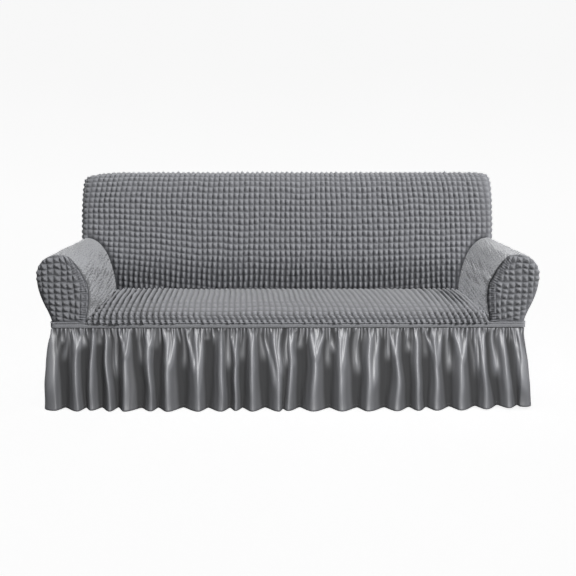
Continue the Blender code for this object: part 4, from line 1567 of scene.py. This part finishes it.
def add_sleeve(context, name, node, side, seed):
    """The smoother sleeve over one arm, with its crinkle and the puckers of its seams."""
    profile = table_rows(ARM_PROFILE, np.linspace(0.0, len(ARM_PROFILE) - 1, 351))
    # Its inner edge runs on under the seat, so that no light shows between them.
    under = [profile[-1] - np.array([out, down, out, down]) for out, down in SLEEVE_TUCK]
    profile = np.concatenate([profile, under])
    share = np.linspace(0.0, 1.0, 85) ** 1.25
    station = share[:, None] * np.ones(len(profile))
    x = profile[:, 0] + (profile[:, 2] - profile[:, 0]) * arm_turn(station)
    z = profile[:, 1] + (profile[:, 3] - profile[:, 1]) * station
    start = ARM_PANEL_SEAM + SEAM_GAP
    stop = back_front_depth(profile[:, 2] - BODY_CLOTH - SEAM_GAP, profile[:, 3]) - TUCK_GAP
    depth = start + (stop - start) * station
    steps = np.hypot(np.diff(profile[:, 0]), np.diff(profile[:, 1]))
    around = np.concatenate([[0.0], np.cumsum(steps)]) * np.ones_like(station)
    points = placed(side * x, depth, z)
    shown = around[0, -1 - len(SLEEVE_TUCK)]
    crinkle = context.scene.cover_knit.crinkle
    streak = waves(around + 0.10 * depth, 0.035 * depth, 0.010, seed, 24)
    small = waves(around, 0.25 * depth, 0.008, seed + 1, 24)
    soft = waves(around, depth, 0.14, seed + 2)
    to_front, to_back = depth - start, stop - depth
    pucker = waves(around + 0.5 * to_front, 0.15 * depth, 0.017, seed + 3)
    # The inside of the arm is pulled hardest and creases most.
    inside = eased((around - 0.60 * shown) / 0.12)
    streaks, creases, dip, dip_reach, dark_reach, brighter = (
        outside + more * inside for outside, more in SLEEVE_PULL
    )
    crinkled = streaks * streak + creases * small
    amount = crinkle * crinkled + SLEEVE_SOFT * soft
    for (height, reach), away in zip(SLEEVE_PUCKERS, (to_front, to_back)):
        amount = amount + height * pucker * np.exp(-away / reach)
    amount = amount * eased(to_back / 0.02) * eased((around + 0.005) / 0.02)
    amount = amount - dip * np.exp(-to_front / dip_reach)
    amount = amount * eased((shown - around) / 0.01)
    # Painted shade: the crinkle's troughs take dark specks, the inside of the arm is a little darker,
    # and the crease at the front seam is dark.
    dark = np.exp(-((to_front / dark_reach) ** 2))
    lift = np.clip(1.0 - 0.14 * inside + brighter * crinkled - 0.95 * dark, 0.0, 1.0)
    cloth_map = (side * around, depth)
    if side > 0:
        points, amount, lift = points[:, ::-1], amount[:, ::-1], lift[:, ::-1]
        cloth_map = tuple(part[:, ::-1] for part in cloth_map)
    obj = add_cloth(name, pushed(points, amount), cloth_map, {"lift": lift})
    obj.data.materials.append(material_of("crinkled_jersey"))
    finished(obj, [node])


class COVER_OT_arm_sleeves(bpy.types.Operator):
    """Make the sleeves over the rolled arms"""

    bl_idname = "cover.arm_sleeves"
    bl_label = "Arm sleeves"

    def execute(self, context):
        add_sleeve(context, "arm_sleeve_left_cloth", "arm_sleeve_left", -1.0, 61)
        add_sleeve(context, "arm_sleeve_right_cloth", "arm_sleeve_right", 1.0, 71)
        return {"FINISHED"}


# ---------------------------------------------------------------- the waist


def waist_legs():
    """The four straight sides of the waist: length, heading and the turn's centre."""
    x, y = WAIST_HALF_WIDTH - WAIST_CORNER, WAIST_HALF_DEPTH - WAIST_CORNER
    return np.array(
        [
            (2 * x, -90.0, x, -y),
            (2 * y, 0.0, x, y),
            (2 * x, 90.0, -x, y),
            (2 * y, 180.0, -x, -y),
        ]
    )


def waist_length():
    """Length once round the waist."""
    return waist_legs()[:, 0].sum() + 4 * WAIST_ARC


def waist_place(lengths):
    """Points and outward directions at lengths along the waist; 0 is the middle of the front."""
    legs = waist_legs()
    ends = np.cumsum(legs[:, 0] + WAIST_ARC)
    at = np.mod(np.asarray(lengths) + legs[0, 0] / 2, ends[-1])
    k = np.minimum(np.searchsorted(ends, at, side="right"), 3)
    leg, heading, centre_x, centre_y = np.moveaxis(legs[k], -1, 0)
    along = at - (ends[k] - leg - WAIST_ARC)
    back = np.maximum(leg - along, 0.0)
    angle = np.radians(heading + 90.0 * np.clip((along - leg) / WAIST_ARC, 0.0, 1.0))
    outward = np.stack([np.cos(angle), np.sin(angle)], -1)
    forward = np.stack([-outward[..., 1], outward[..., 0]], -1)
    centre = np.stack([centre_x, centre_y], -1)
    return centre - forward * back[..., None] + outward * WAIST_CORNER, outward


def waist_line(out, z):
    """A closed line round the waist, this far out and high."""
    count = int(waist_length() / WAIST_STEP)
    lengths = np.arange(count) * waist_length() / count
    points, outward = waist_place(lengths)
    flat = points + outward * out
    return np.column_stack([flat, np.full(count, z)])


class COVER_OT_waistband(bpy.types.Operator):
    """Make the elastic tape round the waist, with its ribs"""

    bl_idname = "cover.waistband"
    bl_label = "Waistband"

    def execute(self, context):
        skirt = context.scene.cover_skirt
        angles = np.radians(np.array([-90, -70, -45, -20, 0, 20, 45, 70, 90]))
        middle, half = (BAND_BOTTOM + BAND_TOP) / 2, (BAND_TOP - BAND_BOTTOM) / 2
        out = BAND_OUTER + (BAND_BULGE - BAND_OUTER) * np.cos(angles)
        section_out = np.concatenate([[BAND_INNER], out, [BAND_INNER, BAND_INNER]])
        section_up = np.concatenate([[-half], half * np.sin(angles), [half, -half]])
        count = int(waist_length() / (2 * WAIST_STEP))
        lengths = np.linspace(0.0, waist_length(), count + 1)
        place, outward = waist_place(lengths)
        wander = TAPE_WANDER * waves(lengths, 0 * lengths, 0.16, 81)
        wander[-1] = wander[0]
        flat = place[None] + outward[None] * section_out[:, None, None]
        z = middle + section_up[:, None] + wander[None]
        points = np.concatenate([flat, z[..., None]], axis=-1)
        cloth_map = (lengths[None] * np.ones_like(z), section_up[:, None] * np.ones_like(z))
        tape = add_cloth("waistband_tape", points, cloth_map, weld=True)
        tape.data.materials.append(material_of("woven_elastic"))
        finished(tape, ["waistband"])
        line = add_line("waistband_ribs", waist_line(BAND_BULGE - RIB_SINK, middle), True)
        size = (*RIB_SIZE, 2 * half - RIB_MARGIN)
        ribs = add_grains(
            line, skirt.rib_pitch, size, 0.12, skirt.seed, "woven_elastic", "band_elastic"
        )
        return {"FINISHED"}


class COVER_OT_piping(bpy.types.Operator):
    """Make the thin twisted edge along the top of the tape"""

    bl_idname = "cover.piping"
    bl_label = "Piping"

    def execute(self, context):
        seed = context.scene.cover_skirt.seed + 1
        cord = add_line("waist_piping_edge", waist_line(PIPING_OUT, PIPING_HEIGHT), True)
        finish = ("woven_elastic", "band_elastic", ["waist_piping"])
        add_grains(cord, TWIST_PITCH, TWIST_SIZE, 0.08, seed, *finish)
        return {"FINISHED"}


# ---------------------------------------------------------------- the skirt


def ruled_folds(low, high, pitch, generator):
    """Folds for a length of skirt, uneven in pitch, depth and lean; columns as in FRONT_FOLDS."""
    count = max(3, round((high - low) / pitch))
    widths = generator.uniform(0.7, 1.3, count)
    edges = low + (high - low) * np.concatenate([[0.0], np.cumsum(widths)]) / widths.sum()
    crests = edges[:-1] + np.diff(edges) * generator.uniform(0.4, 0.6, count)
    rises = FOLD_DEPTH * generator.uniform(0.75, 1.15, count)
    falls = FOLD_DEPTH * generator.uniform(0.6, 1.2, count)
    falls[-1] = JOIN_FALL
    leans = FOLD_LEAN * generator.uniform(-1.0, 1.0, count + 1)
    leans[-1] = 0.0
    valley_leans = (leans[:-1] + leans[1:]) / 2
    valley_leans[-1] = 0.0
    valleys = edges[1:]
    return np.column_stack(
        [crests, crests + leans[:-1], rises, valleys, valleys + valley_leans, falls]
    )


def fold_lines(folds, low, steps):
    """Where the mesh lines lie at the band and the hem, their share of a crest, rise and fall."""
    places, shapes = [(low, low)], [(0.0, 0.0, JOIN_FALL)]
    left, left_fall = np.array([low, low]) + JOIN_FLAT, JOIN_FALL
    for crest_top, crest_hem, rise, valley_top, valley_hem, fall in folds:
        crest, right = np.array([crest_top, crest_hem]), np.array([valley_top, valley_hem])
        for phase in np.linspace(-1.0, 1.0, 2 * steps, endpoint=False):
            reach, depth = (crest - left, left_fall) if phase < 0 else (right - crest, fall)
            places.append(crest + phase * reach)
            shapes.append((0.5 + 0.5 * math.cos(math.pi * phase), rise, depth))
        left, left_fall = right, fall
    places += [left - JOIN_FLAT, left]
    shapes += [(0.0, 0.0, left_fall)] * 2
    order = np.argsort([p[0] for p in places], kind="stable")
    return np.array(places)[order].T, np.array(shapes)[order].T


def plain_gathers(folds, generator):
    """Gathers that run into ruled folds; columns as in FRONT_GATHERS."""
    rows = []
    for crest_top, crest_hem, *_ in folds[:-1]:
        for way in (-1.0, 1.0):
            foot = generator.uniform(0.05, 0.26)
            moved = 1 - foot / 0.35
            end = crest_top + moved * (crest_hem - crest_top) + way * 0.003
            start = crest_top + way * generator.uniform(0.010, 0.030)
            rows.append((start, end, foot, generator.uniform(0.5, 1.0)))
    return np.array(rows)


def gathered(lengths, z, gathers):
    """How far the gathers stand out at lengths along the waist and heights."""
    total = np.zeros_like(lengths)
    top = SKIRT_ROWS[-2, 0]
    for start, end, foot, strength in gathers:
        fall = np.clip((top - z) / (top - foot), 0.0, 1.2)
        middle = start + (end - start) * eased(fall)
        width = GATHER_WIDTH * (1.0 + 1.5 * fall)
        tall = GATHER_RISE * strength * (1.0 + 0.4 * np.clip(fall, 0, 1))
        ridge = tall * eased((1.0 - fall) / 0.35) * np.exp(-(((lengths - middle) / width) ** 2))
        # Where gathers meet, the taller one carries on.
        total += ridge**3
    return np.cbrt(total)


def add_skirt(context, name, node, folds, gathers, low, steps, belly, seed):
    """One gathered length of the skirt, from the tape to its turned hem."""
    skirt = context.scene.cover_skirt
    (at_band, at_hem), (bump, rise, fall) = fold_lines(folds, low, steps)
    ends = (at_band[0] + JOIN_GAP, at_band[-1] - JOIN_GAP)
    at_band, at_hem = (np.clip(places, *ends) for places in (at_band, at_hem))
    # The seam allowance at each end is turned inwards.
    at_band, at_hem, bump, rise, fall = (
        np.concatenate([part[:1], part, part[-1:]]) for part in (at_band, at_hem, bump, rise, fall)
    )
    turned = np.zeros_like(at_band)
    turned[[0, -1]] = SEAM_ALLOWANCE
    top, floor = SKIRT_ROWS[-1, 0], SKIRT_ROWS[0, 0]
    below_gathers = np.linspace(GATHER_LINES[1], top - floor, HEM_LINES)[1:]
    drops = np.concatenate([TAPE_LINES, np.linspace(*GATHER_LINES), below_gathers])
    heights = (top - drops)[::-1]
    rows = smooth_rows(heights, SKIRT_ROWS[:, 0], SKIRT_ROWS[:, 1:])
    share, swing, moved = rows[:, :1], rows[:, 1:2], rows[:, 2:]
    lengths = at_band + moved * (at_hem - at_band)
    z = heights[:, None] * np.ones_like(lengths)
    down = 1 - z / SKIRT_ROWS[-2, 0]
    power = CREST_POWERS[0] + (CREST_POWERS[1] - CREST_POWERS[0]) * np.clip(down, 0, 1)
    crest = bump**power
    outs = crest * rise - (1.0 - crest) * fall
    lift = HEM_RISE * (1.0 - bump**0.5)
    if belly is not None:
        lift = lift + smooth_rows(at_hem, belly[:, 0], belly[:, 2])
        swing = swing + smooth_rows(lengths, belly[:, 0], belly[:, 1]) * eased(down * 1.2)
    folded = swing + outs * share
    below = eased((SKIRT_ROWS[-2, 0] + 0.0005 - z) / 0.004)
    # Every main fold starts as a narrow gather of its own, and a faint one dies in each valley.
    own = [(row[0], row[1], *FOLD_GATHER) for row in folds]
    faint = np.random.default_rng(seed).uniform(*VALLEY_GATHERS, (len(folds), 3))
    for row, (shift, foot, strength) in zip(folds[:-1], faint):
        own.append((row[3] + shift, row[4] + shift, foot, strength))
    ridges = gathered(lengths, z, np.concatenate([gathers, own]))
    ripple = waves(lengths, 0.12 * z, 0.030, seed) + 0.5 * waves(lengths, 0.08 * z, 0.012, seed + 1)
    fine = ridges * below + SKIRT_RIPPLE * ripple * eased(down * 4) * below
    # Neighbouring lengths of skirt are plain where they are joined, so that they meet.
    joined = eased((lengths - ends[0]) / JOIN_PLAIN) * eased((ends[1] - lengths) / JOIN_PLAIN)
    out = folded + fine * joined - turned
    out = out + HEM_THICKER * eased((HEM_DEPTH + 0.002 - z) / 0.003)
    z = z + lift * eased(down) ** 2
    # The folds wander a little on their way down.
    sway = waves(lengths, 0.8 * z, 0.15, seed + 5) * eased(down * 5) * joined
    swayed = lengths + SKIRT_SWAY * sway
    place, outward = waist_place(swayed)
    points = np.concatenate([place + outward * out[..., None], z[..., None]], axis=-1)
    outward = np.column_stack([outward[0], np.zeros(len(outward[0]))])
    rolled = [points[0] - outward * inwards + (0, 0, up) for inwards, up in HEM_ROLL]
    points = np.concatenate([np.array(rolled), points])
    # The crest value sets the satin's colour: painted highlight on the crests and gathers, and
    # painted shade in the valleys and in a band just under the tape.
    crest = CREST_BROAD * eased((crest - 0.12) / 0.4) + CREST_NARROW * crest**7
    crest = crest * eased((down + 0.02) / 0.13)
    crest = np.clip(crest + CREST_GATHER * (ridges / GATHER_RISE) ** 1.5 * below, 0.0, 1.0)
    lengths, joined, crest = (
        np.concatenate([np.repeat(part[:1], len(HEM_ROLL), axis=0), part])
        for part in (lengths, joined, crest)
    )
    # The fine gathers die out towards the joins too.
    drop = SKIRT_ROWS[-2, 0] - points[..., 2] + 0.1 * (1 - joined)
    wander = waves(lengths, 0.2 * points[..., 2], 0.05, seed + 2)
    gather = lengths / skirt.gather_pitch + 0.5 * wander
    attributes = {"gather": gather - gather.min() + 1.0, "drop": drop, "crest": crest}
    obj = add_cloth(name, points, (lengths, points[..., 2]), attributes)
    settings = {
        "Depth": skirt.gather_depth,
        "Reach": skirt.gather_reach,
        "Seed": skirt.seed,
        "Cloth": material_of("polyester_satin"),
    }
    obj = finished(grown(obj, tree_of("Fine gathers"), settings), [node])
    return obj, points[len(HEM_ROLL) :]


class COVER_OT_skirt(bpy.types.Operator):
    """Make the four gathered lengths of the skirt"""

    bl_idname = "cover.skirt"
    bl_label = "Skirt"

    def execute(self, context):
        generator = np.random.default_rng(SKIRT_SEED)
        front, right, rear = waist_legs()[:3, 0]
        front_end = FRONT_FOLDS[-1, 3]
        rear_start = front / 2 + WAIST_ARC + right - REAR_WRAP
        rear_end = front / 2 + 3 * WAIST_ARC + right + rear + REAR_WRAP
        left_end = waist_length() + FRONT_START
        lengths = [("skirt_front", FRONT_START, front_end, FRONT_FOLDS, FRONT_GATHERS, 22)]
        for name, low, high, pitch in (
            ("skirt_right", front_end, rear_start, SIDE_FOLD_PITCH),
            ("skirt_rear", rear_start, rear_end, REAR_FOLD_PITCH),
            ("skirt_left", rear_end, left_end, SIDE_FOLD_PITCH),
        ):
            folds = ruled_folds(low, high, pitch, generator)
            lengths.append((name, low, high, folds, None, 15))
        own = np.random.default_rng(SKIRT_SEED + 1)
        for number, (node, low, high, folds, gathers, steps) in enumerate(lengths):
            belly = FRONT_BELLY if gathers is not None else None
            if gathers is None:
                gathers = plain_gathers(folds, own)
            name = node + "_cloth"
            obj, points = add_skirt(
                context, name, node, folds, gathers, low, steps, belly, 91 + 7 * number
            )
            add_hem_stitches(context, node + "_stitches", points)
        return {"FINISHED"}


def add_hem_stitches(context, name, points):
    """The row of stitches that holds the turned hem, 14 mm above its edge."""
    skirt = context.scene.cover_skirt
    columns = enumerate(points[0, :, 2] + HEM_DEPTH)
    row = np.array(
        [[np.interp(z, points[:, k, 2], points[:, k, axis]) for axis in range(3)] for k, z in columns]
    )
    sewn = slice(2, -2)
    line = add_line(name, row[sewn] - STITCH_SINK * outwards(points)[2, sewn])
    add_grains(line, skirt.stitch_pitch, HEM_STITCH, 0.1, skirt.seed, "spun_thread", "skirt_satin")


class COVER_OT_stitching(bpy.types.Operator):
    """Sew the tape down along its two edges"""

    bl_idname = "cover.stitching"
    bl_label = "Stitching"

    def execute(self, context):
        skirt = context.scene.cover_skirt
        for name, z in (
            ("tape_stitches_low", BAND_BOTTOM + STITCH_MARGIN),
            ("tape_stitches_high", BAND_TOP - STITCH_MARGIN),
        ):
            line = add_line(name, waist_line(BAND_OUTER + STITCH_RISE, z), True)
            add_grains(
                line, skirt.stitch_pitch, TAPE_STITCH, 0.1, skirt.seed, "spun_thread", "band_elastic"
            )
        return {"FINISHED"}


# ---------------------------------------------------------------- the studio


def add_light(name, place, target, size, power):
    """A soft square light that looks at a point."""
    light = bpy.data.lights.new(name, "AREA")
    light.shape = "SQUARE"
    light.size = size
    light.energy = power
    obj = linked(name, light)
    obj.location = place
    aim = np.array(target) - np.array(place)
    turn, tilt = math.atan2(-aim[0], aim[1]), math.atan2(math.hypot(*aim[:2]), -aim[2])
    obj.rotation_euler = (tilt, 0.0, turn)


def link_light(light, parts, state, blockers=False):
    """Let a light fall only on these pieces, or on all but them; or be blocked so."""
    kept = bpy.data.collections.new(light)
    for part in parts:
        kept.objects.link(bpy.data.objects[part])
    for item in kept.collection_objects:
        item.light_linking.link_state = state
    linking = bpy.data.objects[light].light_linking
    if blockers:
        linking.blocker_collection = kept
    else:
        linking.receiver_collection = kept


class CoverStudio(bpy.types.PropertyGroup):
    """The camera and the lights."""

    focal_length: FloatProperty(
        name="Focal length", description="Lens of the camera", default=54.07, min=10, unit="CAMERA"
    )
    camera_pitch: angle_of("Pitch", "How far the camera looks down", 11.13)
    camera_yaw: angle_of("Yaw", "How far the camera looks to the right", 0.37)
    key: power_of("Key light", "Power of the high light on the right", 1950.0)
    skirt: power_of("Skirt light", "Power of the light on the skirt", 190.0)
    gloss: power_of("Gloss light", "Power of the light that the satin only shines with", 180.0)
    sleeve: power_of("Sleeve light", "Power of the light on the right arm", 85.0)
    top: power_of("Top light", "Power of the light overhead", 28.0)
    fill: power_of("Fill light", "Power of the light on the left", 26.0)
    rear: power_of("Rear lights", "Power of each light behind", 260.0)
    ambient: share_of("Ambient", "Light from all round", 0.12)


class COVER_OT_studio(bpy.types.Operator):
    """Set up the pale floor, the soft lights and the camera"""

    bl_idname = "cover.studio"
    bl_label = "Studio"

    def execute(self, context):
        studio = context.scene.cover_studio
        # An all-round sweep: flat floor, a wide bend, then a wall.
        bend = np.linspace(0.0, math.pi / 2, 13)
        wall = SWEEP_FLAT + SWEEP_BEND
        reach = np.concatenate([[0.0], SWEEP_FLAT + SWEEP_BEND * np.sin(bend), [wall]])
        rise = np.concatenate([[0.0], SWEEP_BEND - SWEEP_BEND * np.cos(bend), [SWEEP_TOP]])
        around = np.linspace(0.0, 2 * math.pi, 65)[None]
        points = np.stack(
            np.broadcast_arrays(
                reach[:, None] * np.cos(-around), reach[:, None] * np.sin(-around), rise[:, None]
            ),
            -1,
        )
        sweep = add_cloth("studio_floor", points, (around, rise[:, None]), weld=True)
        sweep.data.materials.append(floor_material())
        # It shows to the camera and catches shadows, and neither lights nor shades the cover.
        sweep.visible_diffuse = sweep.visible_glossy = sweep.visible_shadow = False
        for name, place, target, size, power, share in LIGHTS:
            add_light(name, place, target, size, share * getattr(studio, power))
        bpy.data.objects["gloss_light"].visible_diffuse = False
        world = bpy.data.worlds.new("studio_world")
        world.use_nodes = True
        # Bright overhead and dim below, as under a big soft box.
        tree = world.node_tree
        heading = add_node(tree, "ShaderNodeTexCoord").outputs["Generated"]
        upward = add_node(tree, "ShaderNodeSeparateXYZ", inputs={0: heading}).outputs[2]
        glow = add_node(
            tree,
            "ShaderNodeMapRange",
            inputs={
                "Value": upward,
                "From Min": -0.6,
                "To Min": 0.12 * studio.ambient,
                "To Max": studio.ambient,
            },
        )
        background = tree.nodes["Background"]
        background.inputs[0].default_value = (1.0, 1.0, 1.0, 1.0)
        tree.links.new(glow.outputs[0], background.inputs[1])
        context.scene.world = world
        camera = bpy.data.cameras.new("camera")
        camera.lens = studio.focal_length
        camera.sensor_width = CAMERA_SENSOR
        obj = linked("camera", camera)
        obj.location = CAMERA_PLACE
        obj.rotation_euler = (math.pi / 2 - studio.camera_pitch, 0.0, -studio.camera_yaw)
        context.scene.camera = obj
        context.scene.view_settings.view_transform = "Standard"
        return {"FINISHED"}


# ---------------------------------------------------------------- panel and run


class COVER_OT_aim(bpy.types.Operator):
    """Choose which pieces the lights of the skirt and the sleeve fall on"""

    bl_idname = "cover.aim"
    bl_label = "Aim the lights"

    def execute(self, context):
        sides = ("front", "right", "rear", "left")
        skirt = [f"skirt_{side}_{kind}" for side in sides for kind in ("cloth", "stitches")]
        link_light("key_light", [*skirt, "studio_floor"], "EXCLUDE")
        for light in ("top_light", "fill_light", "rear_light_left", "rear_light_right"):
            link_light(light, ["studio_floor"], "EXCLUDE")
        link_light("skirt_light", skirt, "INCLUDE")
        link_light("gloss_light", skirt, "INCLUDE")
        link_light("sleeve_light", ["arm_sleeve_right_cloth"], "INCLUDE")
        link_light("key_light", ["arm_sleeve_right_cloth", "arm_front_right_cloth"], "EXCLUDE", True)
        return {"FINISHED"}


class VIEW3D_PT_sofa_cover(bpy.types.Panel):
    """Lists the pieces of the cover and their sizes"""

    bl_label = PANEL
    bl_idname = "VIEW3D_PT_sofa_cover"
    bl_space_type = "VIEW_3D"
    bl_region_type = "UI"
    bl_category = PANEL

    def draw(self, context):
        layout = self.layout
        for group in (
            context.scene.cover_knit,
            context.scene.cover_skirt,
            context.scene.cover_colours,
            context.scene.cover_studio,
        ):
            box = layout.box()
            for key in group.__annotations__:
                box.prop(group, key)
        for operator in OPERATORS:
            layout.operator(operator.bl_idname)


OPERATORS = (
    COVER_OT_studio,
    COVER_OT_back_hood,
    COVER_OT_rear_panel,
    COVER_OT_seat,
    COVER_OT_arm_fronts,
    COVER_OT_arm_sleeves,
    COVER_OT_waistband,
    COVER_OT_piping,
    COVER_OT_skirt,
    COVER_OT_stitching,
    COVER_OT_aim,
)
GROUPS = {
    "cover_knit": CoverKnit,
    "cover_skirt": CoverSkirt,
    "cover_colours": CoverColours,
    "cover_studio": CoverStudio,
}


def register():
    for name, group in GROUPS.items():
        bpy.utils.register_class(group)
        setattr(bpy.types.Scene, name, PointerProperty(type=group))
    for operator in OPERATORS:
        bpy.utils.register_class(operator)
    bpy.utils.register_class(VIEW3D_PT_sofa_cover)


def unregister():
    bpy.utils.unregister_class(VIEW3D_PT_sofa_cover)
    for operator in reversed(OPERATORS):
        bpy.utils.unregister_class(operator)
    for name, group in GROUPS.items():
        delattr(bpy.types.Scene, name)
        bpy.utils.unregister_class(group)


def main():
    """Build every piece in order."""
    register()
    for operator in OPERATORS:
        group, name = operator.bl_idname.split(".")
        getattr(getattr(bpy.ops, group), name)()


if __name__ == "__main__":
    main()
